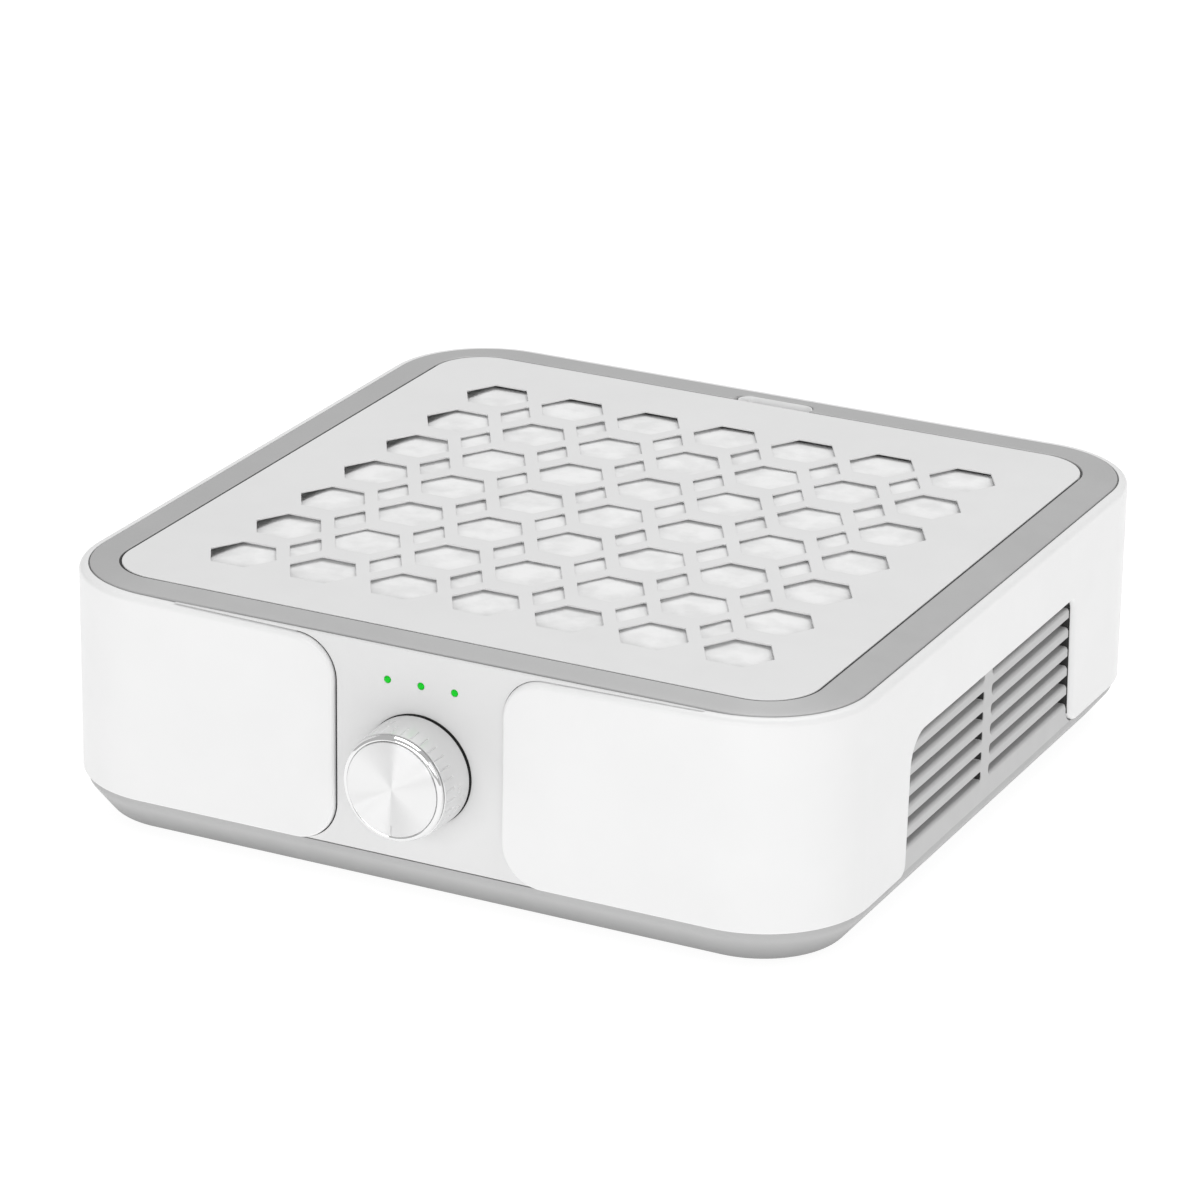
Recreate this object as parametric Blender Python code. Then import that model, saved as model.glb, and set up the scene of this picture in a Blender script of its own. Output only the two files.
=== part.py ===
"""A desktop nail dust collector: a square fan box with a perforated lift-off grille on top.

Lengths are millimetres until mesh_object writes them in metres. Z is up, the control front faces -Y.
Heights count from the floor under the feet. Plan sizes count from the centre of the square body.
"""

from math import asin, cos, pi, radians, sin

import bmesh
import bpy
from mathutils.geometry import tessellate_polygon

MM = 0.001
GAP = 0.3
PAST = 5.0  # how far a cutter reaches past what it cuts
LAP = 1.0  # how deep a joined piece sits in the other
SKIM = 0.05  # keeps two faces out of one plane

# Body
BODY_HALF = 120.0
BODY_RADIUS = 32.0
TOP = 76.0
SHELL_BOTTOM = 13.3
SHELL_WALL = 2.5
SHELL_FILLET = 2.0
SHELL_EDGE = 0.5
RIM_TOP = 74.6
RIM_INSET = 2.7
SHELF_TOP = 72.7
SHELF_THICK = 2.5
SHELF_INSET = 22.0
CORNER_STEPS = 7

# Inner housing, set back from the shell's outer face
SETBACK = 1.3
HOUSING_HALF = BODY_HALF - SETBACK
BASE_BOTTOM = 2.3
BASE_FLOOR_TOP = 5.0
BASE_STRIP_BOTTOM = 11.0
BASE_STRIP_TOP = 13.0
BASE_CHAMFER_IN = 6.8
BASE_WALL = 2.5

# Control gap in the front of the shell
CONTROL_HALF = 25.7
CONTROL_RADIUS = 12.0
WING_TOP = 73.5
WEDGE_END = 87.0
PAD_TOP = 74.5

# Side louvres
VENT_FRONT = -62.1
VENT_BACK = 54.9
VENT_TOP = 52.8
VENT_FRONT_RADIUS = 9.0
VENT_BACK_RADIUS = 3.0
VENT_FRONT_LEAN = 1.1
VENT_BACK_LEAN = 1.3
LOUVRE_INNER = 113.7
LOUVRE_FRONT = -72.0
LOUVRE_BACK = 62.0
LOUVRE_TOP = 56.0
SLOT_ROWS = 6
SLOT_PITCH = 6.05
SLOT_HEIGHT = 2.9
SLOT_LOWEST = 19.75
SLOT_END_RADIUS = 1.0
SLOT_END_MARGIN = 5.0
BAR_CENTRE = -5.4
BAR_WIDTH = 5.2

# Top ring and grille panel; both openings sit a little forward of the body's centre
PANEL_CENTRE_Y = -2.0
OPENING_HALF_X = 106.5
OPENING_HALF_Y = 107.1
OPENING_RADIUS = 16.2
RING_HALF = 117.0
RING_RADIUS = 29.0
RING_BOTTOM = 73.0
RING_OUTER_TOP = 74.8
RING_EDGE = 0.3
PANEL_CLEARANCE = 0.4
NOTCH_HALF = 12.5
NOTCH_REACH = 6.9
NOTCH_RADIUS = 4.0
NOTCH_FLOOR = 71.0
PANEL_SHEET = 1.0
PANEL_BORDER = 11.5

# Hole pattern: hexagons on a square grid, with a lozenge in the middle of each four
PITCH = 25.5
GRID_COUNT = 7
GRID_CENTRE_Y = -3.8
HEX_SIDE = 10.5
LOZENGE_HALF_X = 5.1
LOZENGE_HALF_Y = 8.9

# Filter under the grille
FILTER_HALF = 97.6
FILTER_RADIUS = 9.6
FILTER_INNER = 91.0
FILTER_INNER_RADIUS = 4.0
FILTER_BOTTOM = 63.5
FILTER_TOP = 72.4
MEDIA_BOTTOM = 63.8
MEDIA_TOP = 72.1
GASKET_BOTTOM = 62.0
GASKET_TOP = 63.2
GASKET_INNER = 91.5

# Fan and its deck
DECK_BOTTOM = 59.2
DECK_TOP = 61.7
DECK_HALF_X = 113.2
DECK_FRONT = -104.0
DECK_BACK = 114.0
DECK_RADIUS = 22.0
INLET_RADIUS = 46.0
INLET_RING_RADII = (44.0, 50.0)
INLET_RING_BOTTOM = 53.0
LEG_PLACES = [(x, y) for x in (-92.0, 92.0) for y in (-62.0, 62.0)]
LEG_RADIUS = 5.0
LEG_BOTTOM = 9.3
BOSS_RADIUS = 6.0
BOSS_TOP = 9.0
SCREW_SHANK = 1.5
SCREW_HEAD = 3.0
SCREW_TOP = 18.0
WHEEL_RADIUS = 48.0
WHEEL_DISC = (25.5, 27.0)
WHEEL_HUB = 14.0
WHEEL_TOP = 51.5
WHEEL_HUB_TOP = 43.0
WHEEL_HUB_FLARE = 2.0
WHEEL_RIM_WIDTH = 10.0
WHEEL_RIM_THICK = 1.5
BLADE_COUNT = 11
BLADE_INNER = 24.0
BLADE_OUTER = 47.0
BLADE_SWEEP = 0.55
BLADE_THICK = 1.6
MOTOR_RADIUS = 20.0
MOTOR_TOP = 23.7
SHAFT_RADIUS = 2.0
SHAFT_HEIGHTS = (12.0, 45.0)
SHAFT_TIP = 0.8
INLET_FLARE = 1.0

# Knob and the electrics behind the fascia; depths count forward from the body's centre
KNOB_HEIGHT = 40.5
KNOB_BACK = 119.6
KNOB_FRONT = 134.1
KNOB_RADIUS = 16.0
KNOB_FRONT_RADIUS = 15.4
CAP_RADIUS = 13.6
CAP_THICK = 0.9
CAP_EDGE = 0.2
KNOB_BEVEL = 1.6
KNOB_LIP = 0.8
KNOB_SEAT = 1.2
KNOB_INSIDE = 129.9
KNOB_BOSS_BACK = 122.0
KNOB_BOSS_RADIUS = 5.5
KNOB_BORE_END = 131.5
MARK_HALF = 0.4
MARK_LENGTH = 3.1
MARK_DEPTH = 0.5
POT_RADIUS = 8.5
BUSHING_RADIUS = 3.5
BUSHING_END = 121.4
SPINDLE_RADIUS = 2.7
SPINDLE_ENDS = (112.0, 131.2)
NUT_RADIUS = 5.6
NUT_THICK = 2.0
LIGHT_HEIGHT = 65.0
LIGHT_SPACING = 10.2
LIGHT_SHIFT = 0.6
LIGHT_RADIUS = 0.95
LIGHT_FLANGE = 1.6
LIGHT_DOME = 0.4
FASCIA_HALF = 60.0
FASCIA_TOP = 69.9
FASCIA_BACK = 115.2
BOARD_HALF = 34.0
BOARD_DEPTHS = (106.4, 108.0)
BOARD_HEIGHTS = (22.0, 68.0)
JACK_X = -70.0
JACK_HEIGHT = 26.0
JACK_RADIUS = 5.9
JACK_BODY_RADIUS = 7.0
JACK_BODY_BACK = 104.0
JACK_FACE_INSET = 0.2
JACK_HOLE_RADIUS = 3.1
JACK_HOLE_FLOOR = 108.0
JACK_PIN_RADIUS = 1.0
JACK_PIN_END = 117.0
JACK_PIN_TIP = 0.6

# Small repeated pieces
FOOT_PLACES = [(x, y) for x in (-92.0, 92.0) for y in (-92.0, 92.0)]
FOOT_RADIUS = 9.0
FOOT_TOP = 2.0
FOOT_PIN = 3.0
FOOT_EDGE = 0.6
FOOT_PIN_TOP = 4.6
SCREW_HEAD_INSET = 0.6
SCREW_HEAD_GAP = 0.1
MAGNET_PLACES = [(x, y) for x in (-98.7, 98.7) for y in (-101.0, 97.5)]
MAGNET_RADIUS = 2.5
MAGNET_HEIGHTS = (71.1, 72.6)

# The whole part is moved back by this much, which centres its bounding box on the origin
CENTRING = (KNOB_FRONT - BODY_HALF) / 2


def clear_scene():
    for obj in list(bpy.data.objects):
        bpy.data.objects.remove(obj, do_unlink=True)


def make_material(name, colour, roughness, metallic=0.0, glow=0.0):
    material = bpy.data.materials.new(name)
    material.use_nodes = True
    shader = material.node_tree.nodes["Principled BSDF"]
    shader.inputs["Base Color"].default_value = (*colour, 1.0)
    shader.inputs["Roughness"].default_value = roughness
    shader.inputs["Metallic"].default_value = metallic
    if glow:
        shader.inputs["Emission Color"].default_value = (*colour, 1.0)
        shader.inputs["Emission Strength"].default_value = glow
    return material


# ---------------------------------------------------------------- outlines


def rounded_outline(half_x, half_y, radius, centre_y=0.0):
    """A rounded rectangle, anticlockwise."""
    points = []
    for quarter, (side_x, side_y) in enumerate(((1, 1), (-1, 1), (-1, -1), (1, -1))):
        middle_x = side_x * (half_x - radius)
        middle_y = centre_y + side_y * (half_y - radius)
        for step in range(CORNER_STEPS + 1):
            angle = radians(90 * (quarter + step / CORNER_STEPS))
            points.append((middle_x + radius * cos(angle), middle_y + radius * sin(angle)))
    return points


def square_outline(half, radius):
    return rounded_outline(half, half, radius)


def body_outline(inset):
    return square_outline(BODY_HALF - inset, BODY_RADIUS - inset)


def circle_outline(radius, steps, centre=(0.0, 0.0)):
    return arc_points(centre, radius, 0.0, 360.0 * (steps - 1) / steps, steps - 1)


def arc_points(centre, radius, start, end, steps):
    """Points on an arc between two angles in degrees."""
    angles = [radians(start + (end - start) * step / steps) for step in range(steps + 1)]
    return [(centre[0] + radius * cos(a), centre[1] + radius * sin(a)) for a in angles]


def mirrored(points):
    """The outline made of these points and their mirror images across x = 0."""
    return points + [(-x, z) for x, z in reversed(points)]


def control_outline(inset, bottom, top):
    """The gap between the two front wings, in X and Z, narrowed by inset on every edge."""
    radius = CONTROL_RADIUS + inset
    side = CONTROL_HALF + CONTROL_RADIUS
    low = (side, SHELL_BOTTOM + CONTROL_RADIUS)
    high = (side, WING_TOP - CONTROL_RADIUS)
    start = 180 + asin(min(1.0, (low[1] - bottom) / radius)) * 180 / pi
    points = arc_points(low, radius, start, 180, 5)
    points += arc_points(high, radius, 180, 90, 6)
    slope = (RIM_TOP - WING_TOP) / (WEDGE_END - side)
    end = min(WEDGE_END, side + (top - WING_TOP - inset) / slope)
    points.append((end, WING_TOP + inset + slope * (end - side)))
    if top > RIM_TOP:
        points.append((end, top))
    return mirrored(points)


def vent_outline(inset, bottom):
    """The opening in the side of the shell, in Y and Z, open at the bottom."""
    front = VENT_FRONT + inset
    back = VENT_BACK - inset
    top = VENT_TOP - inset
    points = [(back + VENT_BACK_LEAN, bottom)]
    points += arc_points((back - VENT_BACK_RADIUS, top - VENT_BACK_RADIUS), VENT_BACK_RADIUS, 0, 90, 3)
    points += arc_points((front + VENT_FRONT_RADIUS, top - VENT_FRONT_RADIUS), VENT_FRONT_RADIUS, 90, 180, 5)
    points.append((front - VENT_FRONT_LEAN, bottom))
    return points


# ---------------------------------------------------------------- solids


def mesh_object(name, points, faces, material):
    """An object of these points in millimetres, with its faces turned outwards."""
    mesh = bpy.data.meshes.new(name)
    mesh.from_pydata([(x * MM, y * MM, z * MM) for x, y, z in points], [], faces)
    work = bmesh.new()
    work.from_mesh(mesh)
    bmesh.ops.recalc_face_normals(work, faces=work.faces[:])
    work.to_mesh(mesh)
    work.free()
    mesh.shade_smooth()
    mesh.set_sharp_from_angle(angle=radians(35))
    if material:
        mesh.materials.append(material)
    obj = bpy.data.objects.new(name, mesh)
    bpy.context.scene.collection.objects.link(obj)
    return obj


def skin(levels, ring_like):
    """Points and faces between outlines at heights; a ring-like skin joins its last level to its first."""
    count = len(levels[0][0])
    points = [(x, y, z) for outline, z in levels for x, y in outline]
    faces = []
    for lower in range(len(levels) if ring_like else len(levels) - 1):
        upper = (lower + 1) % len(levels)
        for here in range(count):
            there = (here + 1) % count
            corners = (lower * count + here, lower * count + there)
            faces.append((*corners, upper * count + there, upper * count + here))
    if not ring_like:
        faces.append(tuple(reversed(range(count))))
        faces.append(tuple(range(len(points) - count, len(points))))
    return points, faces


def tube(name, levels, material):
    return mesh_object(name, *skin(levels, True), material)


def stack(name, levels, material):
    return mesh_object(name, *skin(levels, False), material)


def turned_skin(profile, steps):
    """Points and faces of a profile of (radius, height) turned about Z; radius 0 makes a pole."""
    points = []
    rows = []
    for radius, height in profile:
        ring = circle_outline(radius, steps) if radius else [(0.0, 0.0)]
        rows.append([len(points) + place for place in range(len(ring))])
        points += [(x, y, height) for x, y in ring]
    closed = profile[0][0] > 0
    faces = []
    for here in range(len(rows) if closed else len(rows) - 1):
        one, two = rows[here], rows[(here + 1) % len(rows)]
        for step in range(steps):
            after = (step + 1) % steps
            corners = [one[step % len(one)], one[after % len(one)]]
            corners += [two[after % len(two)], two[step % len(two)]]
            faces.append(tuple(dict.fromkeys(corners)))
    return points, faces


def turned(name, profile, steps, material, place=(0.0, 0.0, 0.0), facing=0.0):
    """A turned solid with its origin on its axis; facing 90 points it at -Y, and -90 at +Y."""
    obj = mesh_object(name, *turned_skin(profile, steps), material)
    obj.location = [value * MM for value in place]
    obj.rotation_euler = (radians(facing), 0.0, 0.0)
    return obj


def to_axes(across, up, along, plane):
    """Places an outline's point and its depth in the XY, XZ or YZ plane."""
    return {"XY": (across, up, along), "XZ": (across, along, up), "YZ": (along, across, up)}[plane]


def prisms(name, outlines, depths, plane, material=None, holes=()):
    """Extruded outlines in one object; holes are cut through the only outline."""
    points = []
    faces = []
    for outline in outlines:
        loops = [outline, *holes]
        flat = [point for loop in loops for point in loop]
        base = len(points)
        for depth in depths:
            points += [to_axes(across, up, depth, plane) for across, up in flat]
        caps = tessellate_polygon([[(*point, 0.0) for point in loop] for loop in loops])
        top = base + len(flat)
        faces += [tuple(base + corner for corner in cap) for cap in caps]
        faces += [tuple(top + corner for corner in reversed(cap)) for cap in caps]
        start = 0
        for loop in loops:
            for here in range(len(loop)):
                one = start + here
                two = start + (here + 1) % len(loop)
                faces.append((base + one, base + two, top + two, top + one))
            start += len(loop)
    return mesh_object(name, points, faces, material)


def box_outline(left, right, low, high):
    return [(left, low), (right, low), (right, high), (left, high)]


def combine(obj, helper, operation):
    """Adds a Boolean with a hidden helper to the object."""
    helper.hide_render = True
    helper.display_type = "WIRE"
    modifier = obj.modifiers.new(helper.name, "BOOLEAN")
    modifier.operation = operation
    modifier.object = helper
    modifier.solver = "EXACT"


def cut(obj, helper):
    combine(obj, helper, "DIFFERENCE")


def join(obj, helper):
    combine(obj, helper, "UNION")


def rods(name, places, radius, heights, steps):
    return prisms(name, [circle_outline(radius, steps, place) for place in places], heights, "XY")


# ---------------------------------------------------------------- housing


def make_outer_shell(material):
    fillet = arc_points((SHELL_FILLET, RIM_TOP - SHELL_FILLET), SHELL_FILLET, 180, 90, 4)
    profile = [(SHELL_EDGE, SHELL_BOTTOM), (0.0, SHELL_BOTTOM + SHELL_EDGE), *fillet]
    profile += [(RIM_INSET, RIM_TOP), (RIM_INSET, SHELF_TOP), (SHELF_INSET, SHELF_TOP)]
    shelf_bottom = SHELF_TOP - SHELF_THICK
    profile += [(SHELF_INSET, shelf_bottom), (SHELL_WALL, shelf_bottom), (SHELL_WALL, SHELL_BOTTOM)]
    shell = tube("outer_shell", [(body_outline(inset), height) for inset, height in profile], material)
    outside = BODY_HALF + PAST
    control = control_outline(0.0, SHELL_BOTTOM, TOP + PAST)
    foot = [(x, z - PAST) for x, z in (control[-1], control[0])]
    cut(shell, prisms("cut_control_gap", [control + foot], (-outside, RIM_INSET + SKIM - BODY_HALF), "XZ"))
    vent = vent_outline(0.0, SHELL_BOTTOM - PAST)
    for side, name in ((-1, "cut_vent_left"), (1, "cut_vent_right")):
        cut(shell, prisms(name, [vent], (side * (HOUSING_HALF - SHELL_WALL), side * outside), "YZ"))
    cut(shell, make_notch_cutter("cut_shell_notch"))
    pocket_heights = (MAGNET_HEIGHTS[0] - GAP, TOP)
    cut(shell, rods("cut_magnets", MAGNET_PLACES, MAGNET_RADIUS + GAP, pocket_heights, 12))
    hole = circle_outline(JACK_RADIUS + GAP, 24, (JACK_X, JACK_HEIGHT))
    cut(shell, prisms("cut_jack", [hole], (BODY_HALF - PAST, outside), "XZ"))


def make_notch_cutter(name):
    """A finger's width of the ring and of the shelf under it, behind the middle of the panel."""
    back = PANEL_CENTRE_Y + OPENING_HALF_Y + NOTCH_REACH
    outline = rounded_outline(NOTCH_HALF, NOTCH_REACH, NOTCH_RADIUS, back - NOTCH_REACH)
    return prisms(name, [outline], (NOTCH_FLOOR, TOP + PAST), "XY")


def make_base_tray(material):
    slope = BASE_CHAMFER_IN / (BASE_STRIP_BOTTOM - BASE_BOTTOM)
    inner = BASE_CHAMFER_IN - slope * (BASE_FLOOR_TOP - BASE_BOTTOM) + BASE_WALL
    profile = [(BASE_CHAMFER_IN, BASE_BOTTOM), (0.0, BASE_STRIP_BOTTOM), (0.0, BASE_STRIP_TOP)]
    profile += [(BASE_WALL, BASE_STRIP_TOP), (BASE_WALL, BASE_STRIP_BOTTOM), (inner, BASE_FLOOR_TOP)]
    levels = [(body_outline(SETBACK + inset), height) for inset, height in profile]
    tray = stack("base_tray", levels, material)
    louvre = box_outline(LOUVRE_FRONT, LOUVRE_BACK, BASE_STRIP_BOTTOM, LOUVRE_TOP)
    pad = vent_outline(GAP, BASE_STRIP_BOTTOM + LAP)
    for side, label in ((-1, "left"), (1, "right")):
        wall_depths = (side * LOUVRE_INNER, side * (BODY_HALF - SHELL_WALL - GAP))
        join(tray, prisms("add_louvre_" + label, [louvre], wall_depths, "YZ"))
        pad_depths = (side * (HOUSING_HALF - BASE_WALL), side * HOUSING_HALF)
        join(tray, prisms("add_vent_pad_" + label, [pad], pad_depths, "YZ"))
        slot_depths = (side * (LOUVRE_INNER - PAST), side * (BODY_HALF + PAST))
        cut(tray, prisms("cut_slots_" + label, slot_outlines(), slot_depths, "YZ"))
    join(tray, rods("add_bosses", LEG_PLACES, BOSS_RADIUS, (BASE_FLOOR_TOP - LAP, BOSS_TOP), 16))
    head_depths = (0.0, BASE_FLOOR_TOP + SCREW_HEAD_GAP)
    cut(tray, rods("cut_screw_heads", LEG_PLACES, SCREW_HEAD + GAP, head_depths, 12))
    cut(tray, rods("cut_screw_shanks", LEG_PLACES, SCREW_SHANK + GAP, (0.0, BOSS_TOP + PAST), 12))
    cut(tray, rods("cut_foot_pins", FOOT_PLACES, FOOT_PIN + GAP, (0.0, BASE_FLOOR_TOP + PAST), 12))


def slot_outlines():
    """Two columns of louvre slots, in Y and Z, each rounded where it meets the bar between them."""
    outlines = []
    radius = SLOT_END_RADIUS
    for row in range(SLOT_ROWS):
        low = SLOT_LOWEST + row * SLOT_PITCH
        high = low + SLOT_HEIGHT
        front_end = BAR_CENTRE - BAR_WIDTH / 2 - radius
        front = [(LOUVRE_FRONT + SLOT_END_MARGIN, low)]
        front += arc_points((front_end, low + radius), radius, -90, 0, 2)
        front += arc_points((front_end, high - radius), radius, 0, 90, 2)
        front.append((LOUVRE_FRONT + SLOT_END_MARGIN, high))
        back_end = BAR_CENTRE + BAR_WIDTH / 2 + radius
        back = [(LOUVRE_BACK - SLOT_END_MARGIN, high)]
        back += arc_points((back_end, high - radius), radius, 90, 180, 2)
        back += arc_points((back_end, low + radius), radius, 180, 270, 2)
        back.append((LOUVRE_BACK - SLOT_END_MARGIN, low))
        outlines += [front, back]
    return outlines


def make_front_fascia(material):
    front = -HOUSING_HALF
    step = -(BODY_HALF - SHELL_WALL)
    face = control_outline(GAP, SHELL_BOTTOM, PAD_TOP)
    fascia = prisms("front_fascia", [face], (front, step - SKIM), "XZ", material)
    core = box_outline(GAP - CONTROL_HALF, CONTROL_HALF - GAP, SHELL_BOTTOM + LAP, FASCIA_TOP)
    join(fascia, prisms("add_fascia_core", [core], (front + LAP / 2, -FASCIA_BACK - LAP), "XZ"))
    plate = box_outline(-FASCIA_HALF, FASCIA_HALF, SHELL_BOTTOM + GAP, FASCIA_TOP)
    join(fascia, prisms("add_fascia_plate", [plate], (step + GAP, -FASCIA_BACK), "XZ"))
    lights = [circle_outline(LIGHT_RADIUS + GAP, 16, (x, LIGHT_HEIGHT)) for x in light_places()]
    holes = [*lights, circle_outline(BUSHING_RADIUS + GAP, 20, (0.0, KNOB_HEIGHT))]
    cut(fascia, prisms("cut_fascia_holes", holes, (-BODY_HALF - PAST, PAST - FASCIA_BACK), "XZ"))


def make_feet(material):
    profile = [(0, 0), (FOOT_RADIUS - FOOT_EDGE, 0), (FOOT_RADIUS, FOOT_EDGE), (FOOT_RADIUS, FOOT_TOP)]
    profile += [(FOOT_PIN, FOOT_TOP), (FOOT_PIN, FOOT_PIN_TOP), (0, FOOT_PIN_TOP)]
    for number, (x, y) in enumerate(FOOT_PLACES, 1):
        turned(f"foot_{number}", profile, 20, material, (x, y, 0.0))


def make_screws(material):
    head = (BASE_BOTTOM + SCREW_HEAD_INSET, BASE_FLOOR_TOP - SCREW_HEAD_GAP)
    profile = [(0, head[0]), (SCREW_HEAD, head[0]), (SCREW_HEAD, head[1]), (SCREW_SHANK, head[1])]
    profile += [(SCREW_SHANK, SCREW_TOP), (0, SCREW_TOP + SCREW_SHANK)]
    for number, (x, y) in enumerate(LEG_PLACES, 1):
        turned(f"screw_{number}", profile, 12, material, (x, y, 0.0))


# ---------------------------------------------------------------- top


def make_top_ring(material):
    outer = square_outline(RING_HALF, RING_RADIUS)
    outer_edge = square_outline(RING_HALF - RING_EDGE, RING_RADIUS - RING_EDGE)
    opening = (OPENING_HALF_X, OPENING_HALF_Y, OPENING_RADIUS, PANEL_CENTRE_Y)
    inner = rounded_outline(*opening)
    inner_edge = rounded_outline(*(size + RING_EDGE for size in opening[:3]), PANEL_CENTRE_Y)
    levels = [(outer, RING_BOTTOM), (outer, RING_OUTER_TOP - RING_EDGE), (outer_edge, RING_OUTER_TOP)]
    levels += [(inner_edge, TOP), (inner, TOP - RING_EDGE), (inner, RING_BOTTOM)]
    ring = tube("top_ring", levels, material)
    cut(ring, make_notch_cutter("cut_ring_notch"))


def make_grille_panel(material):
    clearance = PANEL_CLEARANCE
    half_x = OPENING_HALF_X - clearance
    half_y = OPENING_HALF_Y - clearance
    outline = rounded_outline(half_x, half_y, OPENING_RADIUS - clearance, PANEL_CENTRE_Y)
    start = -(GRID_COUNT - 1) / 2
    hexes = grid_of(GRID_COUNT, start, lambda x, y: circle_outline(HEX_SIDE, 6, (x, y)))
    lozenges = grid_of(GRID_COUNT - 1, start + 0.5, lozenge)
    panel = prisms("grille_panel", [outline], (RING_BOTTOM, TOP), "XY", material, [*hexes, *lozenges])
    inside = (half_x - PANEL_BORDER, half_y - PANEL_BORDER, OPENING_RADIUS - PANEL_BORDER, PANEL_CENTRE_Y)
    heights = (RING_BOTTOM - PAST, TOP - PANEL_SHEET)
    cut(panel, prisms("cut_panel_underside", [rounded_outline(*inside)], heights, "XY"))


def grid_of(count, start, outline_at):
    steps = [(start + step) * PITCH for step in range(count)]
    return [outline_at(x, y + GRID_CENTRE_Y) for y in steps for x in steps]


def lozenge(x, y):
    half_x, half_y = LOZENGE_HALF_X, LOZENGE_HALF_Y
    return [(x + half_x, y), (x, y + half_y), (x - half_x, y), (x, y - half_y)]


def make_magnets(material):
    low, high = MAGNET_HEIGHTS
    profile = [(0, low), (MAGNET_RADIUS, low), (MAGNET_RADIUS, high), (0, high)]
    for number, (x, y) in enumerate(MAGNET_PLACES, 1):
        turned(f"magnet_{number}", profile, 12, material, (x, y, 0.0))


def square_ring(name, outer, outer_radius, inner, inner_radius, heights, material):
    outside = square_outline(outer, outer_radius)
    inside = square_outline(inner, inner_radius)
    low, high = heights
    tube(name, [(outside, low), (outside, high), (inside, high), (inside, low)], material)


def make_filter(frame_material, media_material, gasket_material):
    outer = (FILTER_HALF, FILTER_RADIUS)
    inner = (FILTER_INNER, FILTER_INNER_RADIUS)
    square_ring("filter_frame", *outer, *inner, (FILTER_BOTTOM, FILTER_TOP), frame_material)
    gasket_inner = (GASKET_INNER, FILTER_INNER_RADIUS)
    square_ring("filter_gasket", *outer, *gasket_inner, (GASKET_BOTTOM, GASKET_TOP), gasket_material)
    media = square_outline(FILTER_INNER - GAP, FILTER_INNER_RADIUS - GAP)
    stack("filter_media", [(media, MEDIA_BOTTOM), (media, MEDIA_TOP)], media_material)


# ---------------------------------------------------------------- fan


def make_fan_deck(material):
    half_y = (DECK_BACK - DECK_FRONT) / 2
    outline = rounded_outline(DECK_HALF_X, half_y, DECK_RADIUS, DECK_FRONT + half_y)
    inlet = circle_outline(INLET_RADIUS, 36)
    deck = prisms("fan_deck", [outline], (DECK_BOTTOM, DECK_TOP), "XY", material, [inlet])
    join(deck, rods("add_legs", LEG_PLACES, LEG_RADIUS, (LEG_BOTTOM, DECK_BOTTOM + LAP), 16))
    pilot = SCREW_SHANK + GAP
    cut(deck, rods("cut_pilots", LEG_PLACES, pilot, (0.0, SCREW_TOP + SCREW_SHANK + LAP), 12))


def make_inlet_ring(material):
    inner, outer = INLET_RING_RADII
    low = INLET_RING_BOTTOM
    high = DECK_BOTTOM - GAP
    profile = [(outer, low), (outer, high), (inner, high), (inner + INLET_FLARE, low)]
    turned("inlet_ring", profile, 36, material)


def make_fan_wheel(material):
    low, high = WHEEL_DISC
    bore = SHAFT_RADIUS + GAP
    flare = WHEEL_HUB + WHEEL_HUB_FLARE
    profile = [(bore, MOTOR_TOP + GAP), (WHEEL_HUB, MOTOR_TOP + GAP), (flare, low), (WHEEL_RADIUS, low)]
    profile += [(WHEEL_RADIUS, high), (flare, high)]
    profile += [(WHEEL_HUB - WHEEL_HUB_FLARE, WHEEL_HUB_TOP), (bore, WHEEL_HUB_TOP)]
    wheel = turned("fan_wheel", profile, 33, material)
    blades = [blade_outline(2 * pi * number / BLADE_COUNT) for number in range(BLADE_COUNT)]
    lap = WHEEL_RIM_THICK / 2
    join(wheel, prisms("add_blades", blades, (low + lap, WHEEL_TOP - lap), "XY"))
    inner = WHEEL_RADIUS - WHEEL_RIM_WIDTH
    under = WHEEL_TOP - WHEEL_RIM_THICK
    rim = [(WHEEL_RADIUS, under), (WHEEL_RADIUS, WHEEL_TOP), (inner, WHEEL_TOP), (inner, under)]
    join(wheel, turned("add_wheel_rim", rim, 33, None))


def blade_outline(turn):
    """A backward-curved blade seen from above."""
    steps = 4
    sides = ([], [])
    for step in range(steps + 1):
        part = step / steps
        radius = BLADE_INNER + (BLADE_OUTER - BLADE_INNER) * part
        half_angle = BLADE_THICK / 2 / radius
        middle = turn - BLADE_SWEEP * part * (1 + part) / 2
        for side, offset in zip(sides, (-half_angle, half_angle)):
            side.append((radius * cos(middle + offset), radius * sin(middle + offset)))
    return sides[0] + sides[1][::-1]


def make_motor(body_material, shaft_material):
    low = BASE_FLOOR_TOP + GAP
    bore = SHAFT_RADIUS + GAP
    floor, end = SHAFT_HEIGHTS
    profile = [(0, low), (MOTOR_RADIUS, low), (MOTOR_RADIUS, MOTOR_TOP)]
    profile += [(bore, MOTOR_TOP), (bore, floor), (0, floor)]
    turned("motor_body", profile, 28, body_material)
    start = floor + GAP
    shaft = [(0, start), (SHAFT_RADIUS, start), (SHAFT_RADIUS, end), (0, end + SHAFT_TIP)]
    turned("motor_shaft", shaft, 12, shaft_material)


# ---------------------------------------------------------------- controls


def light_places():
    return [LIGHT_SHIFT + step * LIGHT_SPACING for step in (-1, 0, 1)]


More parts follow.
